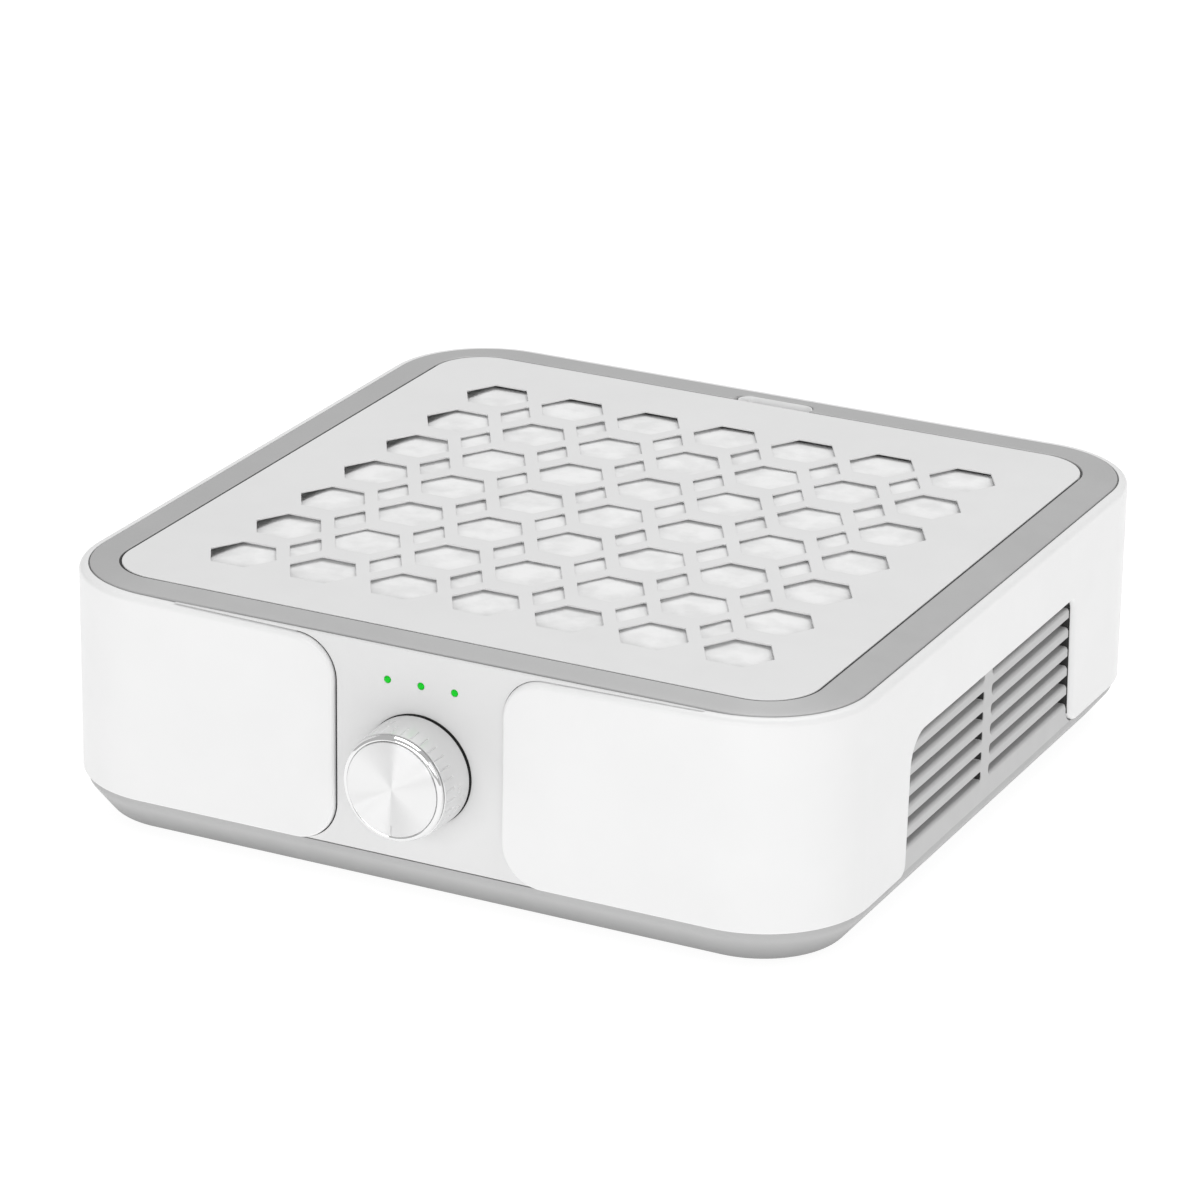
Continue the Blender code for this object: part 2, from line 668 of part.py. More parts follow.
def make_lights(material):
    board = BOARD_DEPTHS[1]
    back = board + GAP
    neck = FASCIA_BACK - GAP
    profile = [(0, back), (LIGHT_FLANGE, back), (LIGHT_FLANGE, neck), (LIGHT_RADIUS, neck)]
    profile += [(LIGHT_RADIUS, HOUSING_HALF), (LIGHT_RADIUS * sin(pi / 4), HOUSING_HALF + LIGHT_DOME / 2)]
    profile.append((0, HOUSING_HALF + LIGHT_DOME))
    for number, x in enumerate(light_places(), 1):
        turned(f"indicator_{number}", profile, 12, material, (x, 0.0, LIGHT_HEIGHT), 90)


def make_knob(body_material, cap_material):
    bore = SPINDLE_RADIUS + GAP
    face = KNOB_FRONT - CAP_EDGE
    seat = KNOB_FRONT - KNOB_SEAT
    profile = [(0, KNOB_BORE_END), (bore, KNOB_BORE_END), (bore, KNOB_BOSS_BACK)]
    profile += [(KNOB_BOSS_RADIUS, KNOB_BOSS_BACK), (KNOB_BOSS_RADIUS, KNOB_INSIDE)]
    profile += [(CAP_RADIUS, KNOB_INSIDE), (CAP_RADIUS, KNOB_BACK), (KNOB_RADIUS, KNOB_BACK)]
    profile += [(KNOB_FRONT_RADIUS, face - KNOB_BEVEL), (CAP_RADIUS + KNOB_LIP, face)]
    profile += [(CAP_RADIUS + GAP, face), (CAP_RADIUS + GAP, seat), (0, seat)]
    place = (0.0, 0.0, KNOB_HEIGHT)
    knob = turned("knob_body", profile, 40, body_material, place, 90)
    low = KNOB_FRONT - CAP_THICK
    disc = [(0, low), (CAP_RADIUS, low), (CAP_RADIUS, face)]
    disc += [(CAP_RADIUS - CAP_EDGE, KNOB_FRONT), (0, KNOB_FRONT)]
    cap = turned("knob_cap", disc, 40, cap_material, place, 90)
    mark_ends = (KNOB_HEIGHT - KNOB_RADIUS - LAP, KNOB_HEIGHT - CAP_RADIUS + MARK_LENGTH)
    mark = box_outline(-MARK_HALF, MARK_HALF, *mark_ends)
    for piece, name in ((knob, "cut_knob_mark"), (cap, "cut_cap_mark")):
        cut(piece, prisms(name, [mark], (-KNOB_FRONT - PAST, MARK_DEPTH - KNOB_FRONT), "XZ"))


def make_dimmer(body_material, metal):
    place = (0.0, 0.0, KNOB_HEIGHT)
    back = BOARD_DEPTHS[1] + GAP
    bore = SPINDLE_RADIUS + GAP
    floor, spindle_end = SPINDLE_ENDS
    neck = FASCIA_BACK - GAP
    profile = [(0, back), (POT_RADIUS, back), (POT_RADIUS, neck), (BUSHING_RADIUS, neck)]
    profile += [(BUSHING_RADIUS, BUSHING_END), (bore, BUSHING_END), (bore, floor), (0, floor)]
    turned("speed_control", profile, 20, body_material, place, 90)
    start = floor + GAP
    spindle = [(0, start), (SPINDLE_RADIUS, start), (SPINDLE_RADIUS, spindle_end), (0, spindle_end)]
    turned("speed_spindle", spindle, 20, metal, place, 90)
    outer = circle_outline(NUT_RADIUS, 6, (0.0, KNOB_HEIGHT))
    inner = circle_outline(BUSHING_RADIUS + GAP, 20, (0.0, KNOB_HEIGHT))
    depths = (-HOUSING_HALF - GAP - NUT_THICK, -HOUSING_HALF - GAP)
    prisms("speed_nut", [outer], depths, "XZ", metal, [inner])


def make_control_board(material):
    outline = box_outline(-BOARD_HALF, BOARD_HALF, *BOARD_HEIGHTS)
    prisms("control_board", [outline], [-depth for depth in reversed(BOARD_DEPTHS)], "XZ", material)


def make_power_jack(material):
    wall = BODY_HALF - SHELL_WALL - GAP
    face = BODY_HALF - JACK_FACE_INSET
    profile = [(0, JACK_BODY_BACK), (JACK_BODY_RADIUS, JACK_BODY_BACK), (JACK_BODY_RADIUS, wall)]
    profile += [(JACK_RADIUS, wall), (JACK_RADIUS, face), (JACK_HOLE_RADIUS, face)]
    profile += [(JACK_HOLE_RADIUS, JACK_HOLE_FLOOR), (JACK_PIN_RADIUS, JACK_HOLE_FLOOR)]
    profile += [(JACK_PIN_RADIUS, JACK_PIN_END), (0, JACK_PIN_END + JACK_PIN_TIP)]
    turned("power_jack", profile, 24, material, (JACK_X, 0.0, JACK_HEIGHT), -90)


def centre_part():
    """Moves everything back, so that the bounding box is centred front to back."""
    for obj in bpy.data.objects:
        obj.location.y += CENTRING * MM


def main():
    clear_scene()
    steel = make_material("steel", (0.56, 0.57, 0.58), 0.35, 1.0)
    housing = make_material("housing_grey", (0.70, 0.70, 0.70), 0.5)
    make_outer_shell(make_material("shell_white", (0.90, 0.90, 0.90), 0.35))
    make_base_tray(housing)
    make_front_fascia(housing)
    make_top_ring(make_material("ring_silver", (0.45, 0.45, 0.45), 0.4, 0.6))
    make_grille_panel(make_material("panel_grey", (0.74, 0.74, 0.74), 0.45))
    make_magnets(make_material("magnet_nickel", (0.60, 0.59, 0.56), 0.25, 1.0))
    white = make_material("filter_frame_white", (0.85, 0.85, 0.84), 0.6)
    media = make_material("filter_cloth", (0.90, 0.90, 0.89), 0.9)
    make_filter(white, media, make_material("foam_grey", (0.20, 0.20, 0.21), 0.9))
    black = make_material("fan_black", (0.05, 0.05, 0.055), 0.5)
    make_fan_deck(housing)
    make_inlet_ring(black)
    make_fan_wheel(black)
    make_motor(make_material("motor_zinc", (0.50, 0.50, 0.50), 0.4, 1.0), steel)
    make_lights(make_material("light_green", (0.02, 0.70, 0.06), 0.3, 0.0, 1.0))
    make_knob(
        make_material("knob_chrome", (0.80, 0.80, 0.80), 0.15, 1.0),
        make_material("knob_spun", (0.85, 0.85, 0.85), 0.25, 1.0),
    )
    make_dimmer(make_material("control_dark", (0.10, 0.10, 0.11), 0.5), steel)
    make_control_board(make_material("board_green", (0.02, 0.16, 0.06), 0.45))
    make_power_jack(make_material("jack_black", (0.03, 0.03, 0.03), 0.45))
    make_feet(make_material("rubber_dark", (0.06, 0.06, 0.06), 0.85))
    make_screws(steel)
    centre_part()


main()
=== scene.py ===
from math import asin, atan2, cos, exp, hypot, pi, radians, sin, sqrt

import bmesh
import bpy
from mathutils import Matrix, Vector
from mathutils.geometry import delaunay_2d_cdt


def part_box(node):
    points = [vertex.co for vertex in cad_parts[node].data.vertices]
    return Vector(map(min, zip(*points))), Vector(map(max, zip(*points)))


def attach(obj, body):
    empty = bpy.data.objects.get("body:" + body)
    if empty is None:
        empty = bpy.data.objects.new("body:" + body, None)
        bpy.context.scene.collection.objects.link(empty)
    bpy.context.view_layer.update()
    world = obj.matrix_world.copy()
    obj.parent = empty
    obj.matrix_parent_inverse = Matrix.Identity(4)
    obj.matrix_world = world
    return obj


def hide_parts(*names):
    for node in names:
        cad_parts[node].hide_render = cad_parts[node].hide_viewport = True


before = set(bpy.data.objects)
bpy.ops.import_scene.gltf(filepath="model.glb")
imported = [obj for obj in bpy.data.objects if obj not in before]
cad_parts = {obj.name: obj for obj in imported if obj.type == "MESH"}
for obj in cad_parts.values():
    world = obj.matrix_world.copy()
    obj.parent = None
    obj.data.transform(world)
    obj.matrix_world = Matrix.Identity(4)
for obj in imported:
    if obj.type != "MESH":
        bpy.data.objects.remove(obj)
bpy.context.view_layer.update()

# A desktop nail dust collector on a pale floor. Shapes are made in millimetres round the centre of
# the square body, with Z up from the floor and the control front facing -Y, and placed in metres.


def box_mm(node):
    """A CAD node's lowest and highest corners in millimetres."""
    return [corner * 1000 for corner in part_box(node)]


def middle_of(node):
    """The middle of a CAD node's box, in millimetres round the body's centre."""
    low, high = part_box(node)
    return (low.x + high.x) * 500, (low.y + high.y) * 500 - CENTRE_Y, (low.z + high.z) * 500


def plan_places(name):
    """Where each of the four nodes of a kind is in plan."""
    return [middle_of(f"{name}_{number}")[:2] for number in range(1, 5)]


MM = 0.001
SHELL_LOW, SHELL_HIGH = box_mm("outer_shell")
RING_LOW, RING_HIGH = box_mm("top_ring")
PANEL_LOW, PANEL_HIGH = box_mm("grille_panel")
KNOB_LOW, KNOB_HIGH = box_mm("knob_body")
CAP_LOW, CAP_HIGH = box_mm("knob_cap")
MEDIA_LOW, MEDIA_HIGH = box_mm("filter_media")
CENTRE_Y = (SHELL_LOW.y + SHELL_HIGH.y) / 2

# Shell
BODY_HALF = SHELL_HIGH.x
BODY_RADIUS = 32.0
SHELL_BOTTOM = SHELL_LOW.z
RIM_TOP = SHELL_HIGH.z
SHELL_WALL = 2.65
FILLET_TOP = 2.0
FILLET_WING = 0.9
FILLET_BOTTOM = 0.7
FILLET_VENT = 2.4
CORNER_STEPS = 24
FLAT = BODY_HALF - BODY_RADIUS
QUARTER_ARC = pi / 2 * BODY_RADIUS
ROUND_LENGTH = 8 * FLAT + 4 * QUARTER_ARC
JACK_HOLE_RADIUS = 6.2
JACK_HOLE_EDGE = 0.5
SHELF_TOP = 72.7
SHELF_THICK = 2.5
SHELF_INSET = 22.0
POCKET_RADIUS = 2.8
POCKET_PAD_RADIUS = 3.0
POCKET_PAD_TOP = 71.0
POCKET_PAD_THICK = 0.9

# Control gap and fascia
CONTROL_HALF = 25.7
CONTROL_RADIUS = 12.0
CONTROL_START = CONTROL_HALF + CONTROL_RADIUS
WING_TOP = 73.5
WEDGE_END = 98.0
WING_SLOPE = (RIM_TOP - WING_TOP) / (WEDGE_END - CONTROL_START)
PAD_TOP = 74.5
SETBACK = 1.3
HOUSING_HALF = BODY_HALF - SETBACK
GAP = 0.3
CONTROL_GAP = 0.5
TIGHT_GAP = 0.15
FASCIA_FACE_THICK = 1.1
FASCIA_THICK = 3.4
FASCIA_EDGE = 0.12
FASCIA_CORE = (-25.2, 14.2, 25.2, 69.8)
SPINDLE_HOLE_RADIUS = 3.8
# Black disc behind the knob: painted shadow where the knob shades the fascia
KNOB_SHADOW_BORE = 4.2
KNOB_SHADOW_BACK = 1.05
KNOB_SHADOW_FRONT = 0.3

# Side openings and louvres
COMB_BACK_GAP = 0.45
VENT_TOP = 52.8
# The opening's front (-1) and back (1) ends: edge, lean, foot radius, corner radius, gap to the pad
VENT_ENDS = {-1: (-62.1, 1.1, 3.5, 9.0, GAP), 1: (54.9, 1.3, 5.0, 3.0, COMB_BACK_GAP)}
LOUVRE_INNER = 113.7
LOUVRE_FRONT = -72.0
LOUVRE_BACK = 62.0
LOUVRE_TOP = 56.0
LOUVRE_PAD_THICK = 1.5
SLOT_ROWS = 6
SLOT_PITCH = 6.05
SLOT_HEIGHT = 2.9
SLOT_LOWEST = 19.75
SLOTS = [(low, low + SLOT_HEIGHT) for low in (SLOT_LOWEST + row * SLOT_PITCH for row in range(SLOT_ROWS))]
SLOT_END_RADIUS = 1.0
SLOT_END_MARGIN = 5.0
SLAT_ROUND = 1.0
SLAT_EDGE = 0.2
BAR_CENTRE = -5.4
BAR_WIDTH = 5.2
PAD_FOOT = (13.2, 13.6, 14.3, 15.4, 16.8, 18.3)
PAD_BACK_CORNER = (49.6, 50.6, 51.5, 52.1)

# Base
BASE_BOTTOM = box_mm("base_tray")[0].z
STRIP_BOTTOM = 11.0
STRIP_TOP = 13.0
CHAMFER_IN = 6.8
BASE_FLOOR_INSET = 14.0
BASE_FLOOR_TOP = 5.0
BASE_WALL = 2.5
WELL_RADIUS = 3.3
WELL_TOP = 4.9
BOSS_PROFILE = ((0.0, WELL_TOP), (6.0, WELL_TOP), (6.0, 8.4), (5.4, 9.0), (0.0, 9.0))
# Rubber foot, as (radius, height, edge radius)
FOOT_PROFILE = (
    (0.0, 0.25, 0), (5.6, 0.25, 0), (6.2, 0.0, 0.3), (8.4, 0.0, 0.6),
    (9.0, 0.6, 0.4), (9.0, 2.0, 0.3), (8.4, 2.2, 0), (0.0, 2.2, 0),
)

# Ring and grille panel
TOP = PANEL_HIGH.z
PANEL_CENTRE_Y = (PANEL_LOW.y + PANEL_HIGH.y) / 2 - CENTRE_Y
PANEL_HALF_X = PANEL_HIGH.x
PANEL_HALF_Y = (PANEL_HIGH.y - PANEL_LOW.y) / 2
PANEL_GAP = 0.4
OPENING_RADIUS = 16.2
OPENING_BACK = PANEL_CENTRE_Y + PANEL_HALF_Y + PANEL_GAP
PANEL_RADIUS = OPENING_RADIUS - PANEL_GAP
RING_HALF = RING_HIGH.x
RING_RADIUS = 29.0
RING_BOTTOM = RING_LOW.z
RING_DROP = 1.2
RING_EDGE = 0.35
NOTCH_HALF = 12.5
NOTCH_REACH = 6.9
NOTCH_RADIUS = 4.0
NOTCH_DEEP = 5.4
NOTCH_LIP = 0.8
SHEET = 0.6
BORDER = 11.5
BORDER_DOWN = 0.95
BORDER_THICK = 2.05
PITCH = 25.5
GRID_COUNT = 7
GRID_CENTRE_Y = -3.8
HEX_SIDE = 10.5
LOZENGE_HALF_X = 5.1
LOZENGE_HALF_Y = 8.9
HOLE_CORNER = 0.6
HOLE_EDGE = 0.22
# Scoop in the notch, from its outside over its rim to its floor: growth of the notch's outline,
# height at the panel's edge, and how much of the way up to the ring it rises at the back
DISH_LEVELS = (
    (0.6, 70.3, 0.0), (0.6, 72.6, 0.0), (-0.25, 72.65, 0.0), (-0.25, 72.65, 0.93), (-0.34, 72.65, 0.98),
    (-0.5, 72.65, 1.0), (-0.7, 72.65, 0.98), (-0.85, 72.6, 0.9), (-1.1, 72.4, 0.6), (-1.5, 72.1, 0.33),
    (-2.1, 71.7, 0.12), (-2.9, 71.35, 0.0), (-3.7, 71.2, 0.0),
)
DISH_BELOW_TOP = 0.75

# Filter
MEDIA_RADIUS = 3.7
MEDIA_CROWN = 2.6
MEDIA_STEPS = 110
FRAME_RADIUS = 9.6
FRAME_BORE_RADIUS = 4.0

# Knob and lights; depths count forward from the body's centre
KNOB_HEIGHT = (KNOB_LOW.z + KNOB_HIGH.z) / 2
KNOB_FRONT = CENTRE_Y - CAP_LOW.y
KNOB_DEEP = KNOB_FRONT - (CENTRE_Y - KNOB_HIGH.y)
KNOB_RADIUS = KNOB_HIGH.x
KNOB_FRONT_RADIUS = 15.4
CAP_RADIUS = CAP_HIGH.x
GROOVES = 32
GROOVE_SHARE = 0.051
GROOVE_DEEP = 0.3
GROOVE_FROM, GROOVE_TO = 6.95, 2.25
MARK_HALF = 0.2
MARK_LENGTH = 3.2
MARK_DEEP = 0.25
LIGHT_HEIGHT = 65.0
LIGHT_RADIUS = 0.95
LIGHT_PLACES = (-9.6, 0.6, 10.8)
LIGHT_BACK = 110.0
LIGHT_DOME = 0.5

# Studio, in metres: name, place, width, height and watts of each light
LIGHTS = (
    ("key", (-0.11, -2.09, 0.75), 1.5, 0.5, 7.6),
    ("second", (1.15, -1.8, 0.65), 1.0, 0.5, 4.5),
    ("top", (0.0, 0.5, 1.8), 1.6, 1.6, 15.5),
    ("side", (1.4, -0.35, 0.8), 0.9, 0.9, 1.6),
)
LIGHT_TARGET = (0.0, 0.0, 0.04)
WORLD_STRENGTH = 0.53
FLOOR_HALF = 6.0
FLOOR_GLOW = 0.86
CAMERA_LENS = 156.96
CAMERA_RIGHT = (0.89416, 0.44751, 0.01453)
CAMERA_UP = (-0.17593, 0.32130, 0.93049)
CAMERA_BACK = (0.41173, -0.83457, 0.36603)
CAMERA_PLACE = (0.6167, -1.25275, 0.6004)


# -------- outlines

def unit(x, y):
    length = hypot(x, y)
    return x / length, y / length


def arc(centre, radius, start, end, steps, end_radius=None):
    """Points on an arc between two angles in degrees, both ends included. The radius may change."""
    growth = 0.0 if end_radius is None else end_radius - radius
    points = []
    for step in range(steps + 1):
        angle = radians(start + (end - start) * step / steps)
        here = radius + growth * step / steps
        points.append((centre[0] + here * cos(angle), centre[1] + here * sin(angle)))
    return points


def circle(radius, steps, centre=(0.0, 0.0)):
    return arc(centre, radius, 0.0, 360.0 * (steps - 1) / steps, steps - 1)


def rounded(half_x, half_y, radius, centre_y=0.0, steps=CORNER_STEPS):
    """A rounded rectangle, anticlockwise."""
    points = []
    for quarter, (side_x, side_y) in enumerate(((1, 1), (-1, 1), (-1, -1), (1, -1))):
        middle = (side_x * (half_x - radius), centre_y + side_y * (half_y - radius))
        points += arc(middle, radius, 90 * quarter, 90 * quarter + 90, steps)
    return points


def rectangle(left, low, right, high):
    """Four corners, anticlockwise."""
    return [(left, low), (right, low), (right, high), (left, high)]


def square_loop(inset):
    """The body's outline in plan, drawn in by a distance."""
    return rounded(BODY_HALF - inset, BODY_HALF - inset, BODY_RADIUS - inset)


def round_corners(corners, radius, steps):
    """A polygon with each corner replaced by an arc."""
    points = []
    for place, here in enumerate(corners):
        before, after = corners[place - 1], corners[(place + 1) % len(corners)]
        one = unit(before[0] - here[0], before[1] - here[1])
        two = unit(after[0] - here[0], after[1] - here[1])
        half = asin(min(1.0, hypot(one[0] - two[0], one[1] - two[1]) / 2))
        reach = radius / sin(half)
        middle = unit(one[0] + two[0], one[1] + two[1])
        centre = (here[0] + middle[0] * reach, here[1] + middle[1] * reach)
        facing = atan2(-middle[1], -middle[0])
        turn = one[0] * two[1] - one[1] * two[0]
        swing = pi / 2 - half if turn > 0 else half - pi / 2
        for step in range(steps + 1):
            angle = facing + swing * (1 - 2 * step / steps)
            points.append((centre[0] + radius * cos(angle), centre[1] + radius * sin(angle)))
    return points


def shifted(loop, amounts):
    """The loop moved to its left at each point, which is into the material."""
    moved = []
    for place, here in enumerate(loop):
        before, after = loop[place - 1], loop[(place + 1) % len(loop)]
        one = unit(here[0] - before[0], here[1] - before[1])
        two = unit(after[0] - here[0], after[1] - here[1])
        scale = amounts[place] / (1 + one[0] * two[0] + one[1] * two[1])
        moved.append((here[0] - (one[1] + two[1]) * scale, here[1] + (one[0] + two[0]) * scale))
    return moved


def inside(point, loops):
    """Whether the point is in an odd number of the loops."""
    found = False
    for loop in loops:
        for place, (x1, y1) in enumerate(loop):
            x0, y0 = loop[place - 1]
            if (y0 > point[1]) != (y1 > point[1]):
                if point[0] < (x1 - x0) * (point[1] - y0) / (y1 - y0) + x0:
                    found = not found
    return found


def fill(loops, lines=()):
    """Triangles over the loops, keeping to them and to the extra lines between points."""
    flat = [point for loop in loops for point in loop]
    edges = list(lines)
    start = 0
    for loop in loops:
        count = len(loop)
        edges += [(start + place, start + (place + 1) % count) for place in range(count)]
        start += count
    result = delaunay_2d_cdt(flat, edges, [], 0, 1e-6)
    points, triangles, origin = result[0], result[2], result[3]
    kept = []
    for corners in triangles:
        middle = [sum(points[corner][axis] for corner in corners) / 3 for axis in (0, 1)]
        if inside(middle, loops):
            kept.append(tuple(origin[corner][0] for corner in corners))
    return kept


# -------- solids

def closed_mesh(name, points, faces):
    """A mesh of these points in millimetres, with its faces turned outwards."""
    mesh = bpy.data.meshes.new(name)
    mesh.from_pydata([(x * MM, (y + CENTRE_Y) * MM, z * MM) for x, y, z in points], [], faces)
    work = bmesh.new()
    work.from_mesh(mesh)
    bmesh.ops.remove_doubles(work, verts=work.verts[:], dist=1e-6)
    bmesh.ops.recalc_face_normals(work, faces=work.faces[:])
    work.to_mesh(mesh)
    work.free()
    return mesh


def add_object(name, data):
    obj = bpy.data.objects.new(name, data)
    bpy.context.scene.collection.objects.link(obj)
    return obj


def settle(target, **settings):
    """Sets attributes of a modifier, a light or the like."""
    for name, value in settings.items():
        setattr(target, name, value)
    return target


def piece(name, points, faces, material, slot, nodes=(), body="housing", sharp=38, weighted=True):
    """A closed mesh of these points in millimetres, riding on a body and standing for CAD nodes."""
    mesh = closed_mesh(name, points, faces)
    mesh.shade_smooth()
    mesh.set_sharp_from_angle(angle=radians(sharp))
    mesh.materials.append(material)
    obj = add_object(name, mesh)
    if weighted:
        settle(obj.modifiers.new("normals", "WEIGHTED_NORMAL"), keep_sharp=True, weight=100)
    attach(obj, body)
    if nodes:
        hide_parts(*nodes)
    return obj


def band(one, two, count):
    """Faces between two closed rows of points, by the number of each row's first point."""
    faces = []
    for here in range(count):
        after = (here + 1) % count
        faces.append((one + here, one + after, two + after, two + here))
    return faces


def blend(one, two, share):
    """Points part of the way from one row's to the other's."""
    return [(x + (x2 - x) * share, y + (y2 - y) * share) for (x, y), (x2, y2) in zip(one, two)]


def rows_skin(rows, closed=False):
    """Points and faces of closed rows of points, each joined to the next."""
    count = len(rows[0])
    faces = []
    for number in range(len(rows) if closed else len(rows) - 1):
        faces += band(number * count, (number + 1) % len(rows) * count, count)
    return [point for row in rows for point in row], faces


def edge_levels(thick, front, back=0.0, steps=4):
    """Levels of a plate from its face to its back, with its front and back edges rounded.

    Each level is (shift per radius, fixed shift, depth per radius, fixed depth)."""
    turns = [radians(90 * step / steps) for step in range(steps + 1)]
    levels = [(front * (1 - sin(turn)), 0.0, front * (1 - cos(turn)), 0.0) for turn in turns]
    if not back:
        return levels + [(0.0, 0.0, 0.0, thick)]
    return levels + [(0.0, back * (1 - cos(turn)), 0.0, thick - back * (1 - sin(turn))) for turn in turns]


def straight(top, bottom):
    """Levels of a plate with plain edges, between two depths."""
    return [(0.0, 0.0, 0.0, top), (0.0, 0.0, 0.0, bottom)]


def plate(loops, levels, place, radii=None, lines=()):
    """A plate with rounded edges. place turns a flat point and a depth into 3-D."""
    radii = radii or [[1.0] * len(loop) for loop in loops]
    points = []
    faces = []
    count = sum(len(loop) for loop in loops)
    for number, (grow, shift, sink, depth) in enumerate(levels):
        sides = zip(loops, radii)
        moved = [shifted(loop, [grow * edge + shift for edge in edges]) for loop, edges in sides]
        for loop, edges in zip(moved, radii):
            points += [place(*point, sink * edge + depth) for point, edge in zip(loop, edges)]
        base = number * count
        if number in (0, len(levels) - 1):
            faces += [tuple(base + corner for corner in face) for face in fill(moved, lines)]
        if number:
            for loop in loops:
                faces += band(base - count, base, len(loop))
                base += len(loop)
    return points, faces


def merged(*skins):
    """Several skins as one."""
    points = []
    faces = []
    for more_points, more_faces in skins:
        base = len(points)
        points += more_points
        faces += [tuple(base + corner for corner in face) for face in more_faces]
    return points, faces


def turned(profile, steps, place, dent=None):
    """A profile of (radius, depth) turned round an axis; place turns (angle, radius, depth) into 3-D."""
    points = []
    rows = []
    for radius, depth in profile:
        around = [2 * pi * step / steps for step in range(steps)] if radius else [0.0]
        rows.append(range(len(points), len(points) + len(around)))
        for angle in around:
            cut = dent(angle, depth) if dent and radius else 0.0
            points.append(place(angle, radius - cut, depth))
    closed = profile[0][0] > 0
    faces = []
    for here in range(len(rows) if closed else len(rows) - 1):
        one, two = rows[here], rows[(here + 1) % len(rows)]
        for step in range(steps):
            after = (step + 1) % steps
            around = (one, step), (one, after), (two, after), (two, step)
            corners = tuple(dict.fromkeys(row[number % len(row)] for row, number in around))
            if len(corners) > 2:
                faces.append(corners)
    return points, faces


def rounded_profile(corners, steps=4):
    """A profile of (radius, depth, edge radius) with its corners rounded."""
    points = []
    for place, (x, y, edge) in enumerate(corners):
        if not edge or place in (0, len(corners) - 1):
            points.append((x, y))
            continue
        before, after = corners[place - 1], corners[place + 1]
        one = unit(before[0] - x, before[1] - y)
        two = unit(after[0] - x, after[1] - y)
        for step in range(steps + 1):
            part = step / steps
            a, b = (1 - part) ** 2 * edge, part ** 2 * edge
            points.append((x + one[0] * a + two[0] * b, y + one[1] * a + two[1] * b))
    return points


def forward_axis(centre_x, height, side=1):
    """Places a turned point on an axis that points at -Y, or at +Y where side is -1."""
    def place(angle, radius, depth):
        return centre_x + side * radius * sin(angle), -side * depth, height + radius * cos(angle)
    return place


def upright_axis(centre_x, centre_y):
    def place(angle, radius, height):
        return centre_x + radius * cos(angle), centre_y + radius * sin(angle), height
    return place


def level_place(top):
    """Places a flat point at a depth below a height."""
    def place(x, y, depth):
        return x, y, top - depth
    return place


# -------- materials

def grey(value):
    return value, value, value


def tune(node, values):
    """Sets a node's inputs, by name or number."""
    for name, value in values.items():
        node.inputs[name].default_value = value


def add_node(beside, kind, values=(), operation=None):
    """A new node in the tree of another one, with its operation and input values."""
    node = beside.id_data.nodes.new(f"ShaderNode{kind}")
    if operation:
        node.operation = operation
    tune(node, dict(values))
    return node


def link(one, output, two, name):
    one.id_data.links.new(one.outputs[output], two.inputs[name])


def point_of(shader):
    """The X, Y and Z of the shaded point in object space."""
    split = add_node(shader, "SeparateXYZ")
    link(add_node(shader, "TexCoord"), "Object", split, "Vector")
    return split


def new_material(name):
    material = bpy.data.materials.new(name)
    material.use_nodes = True
    return material, material.node_tree.nodes["Principled BSDF"]


def noise(shader, scale, detail=2.0, stretch=(1, 1, 1)):
    """A noise texture in object space, with a stretch."""
    mapping = add_node(shader, "Mapping", {"Scale": stretch})
    texture = add_node(shader, "TexNoise", {"Scale": scale, "Detail": detail})
    link(add_node(shader, "TexCoord"), "Object", mapping, "Vector")
    link(mapping, "Vector", texture, "Vector")
    return texture


def vary_colour(shader, texture, low, high, spread=(0.35, 0.65)):
    ramp = add_node(shader, "ValToRGB")
    for element, position, colour in zip(ramp.color_ramp.elements, spread, (low, high)):
        element.position = position
        element.color = (*colour, 1.0)
    link(texture, "Fac", ramp, "Fac")
    link(ramp, "Color", shader, "Base Color")
    return ramp


def vary_roughness(shader, texture, low, high):
    spread = add_node(shader, "MapRange", {"From Min": 0.3, "From Max": 0.7, "To Min": low, "To Max": high})
    link(texture, "Fac", spread, "Value")
    link(spread, "Result", shader, "Roughness")


def add_bump(shader, texture, strength, distance):
    bump = add_node(shader, "Bump", {"Strength": strength, "Distance": distance})
    link(texture, "Fac", bump, "Height")
    link(bump, "Normal", shader, "Normal")


def moulding(name, colour, roughness, grain=2200.0, relief=0.12, coat=0.0, specular=0.5, metallic=0.0,
             sway=0.02):
    """Moulded or painted stuff: faint mottling, uneven gloss and a fine grain."""
    material, shader = new_material(name)
    low = tuple(value * (1 - sway) for value in colour)
    vary_colour(shader, noise(shader, 35.0, 3.0), low, colour)
    vary_roughness(shader, noise(shader, 160.0, 3.0), roughness * 0.9, roughness * 1.12)
    add_bump(shader, noise(shader, grain), relief, 0.00004)
    tune(shader, {"Metallic": metallic, "Specular IOR Level": specular})
    tune(shader, {"Coat Weight": coat, "Coat Roughness": 0.12})
    return material


def brushed(name, colour, roughness, stretch, relief=0.15):
    """Metal with fine marks along one direction."""
    material, shader = new_material(name)
    low = tuple(value * 0.9 for value in colour)
    marks = noise(shader, 900.0, 3.0, stretch)
    vary_colour(shader, marks, low, colour)
    vary_roughness(shader, noise(shader, 300.0, 2.0, stretch), roughness * 0.85, roughness * 1.2)
    add_bump(shader, marks, relief, 0.00003)
    tune(shader, {"Metallic": 1.0})
    return material


def cloth(name):
    """White non-woven filter cloth: tangled fibres and a soft surface."""
    material, shader = new_material(name)
    fibres = noise(shader, 700.0, 6.0)
    vary_colour(shader, noise(shader, 130.0, 5.0), grey(0.76), grey(0.87), (0.32, 0.6))
    vary_roughness(shader, fibres, 0.85, 1.0)
    add_bump(shader, fibres, 0.5, 0.00015)
    tune(shader, {"Sheen Weight": 0.3, "Sheen Roughness": 0.5, "Specular IOR Level": 0.1})
    return material


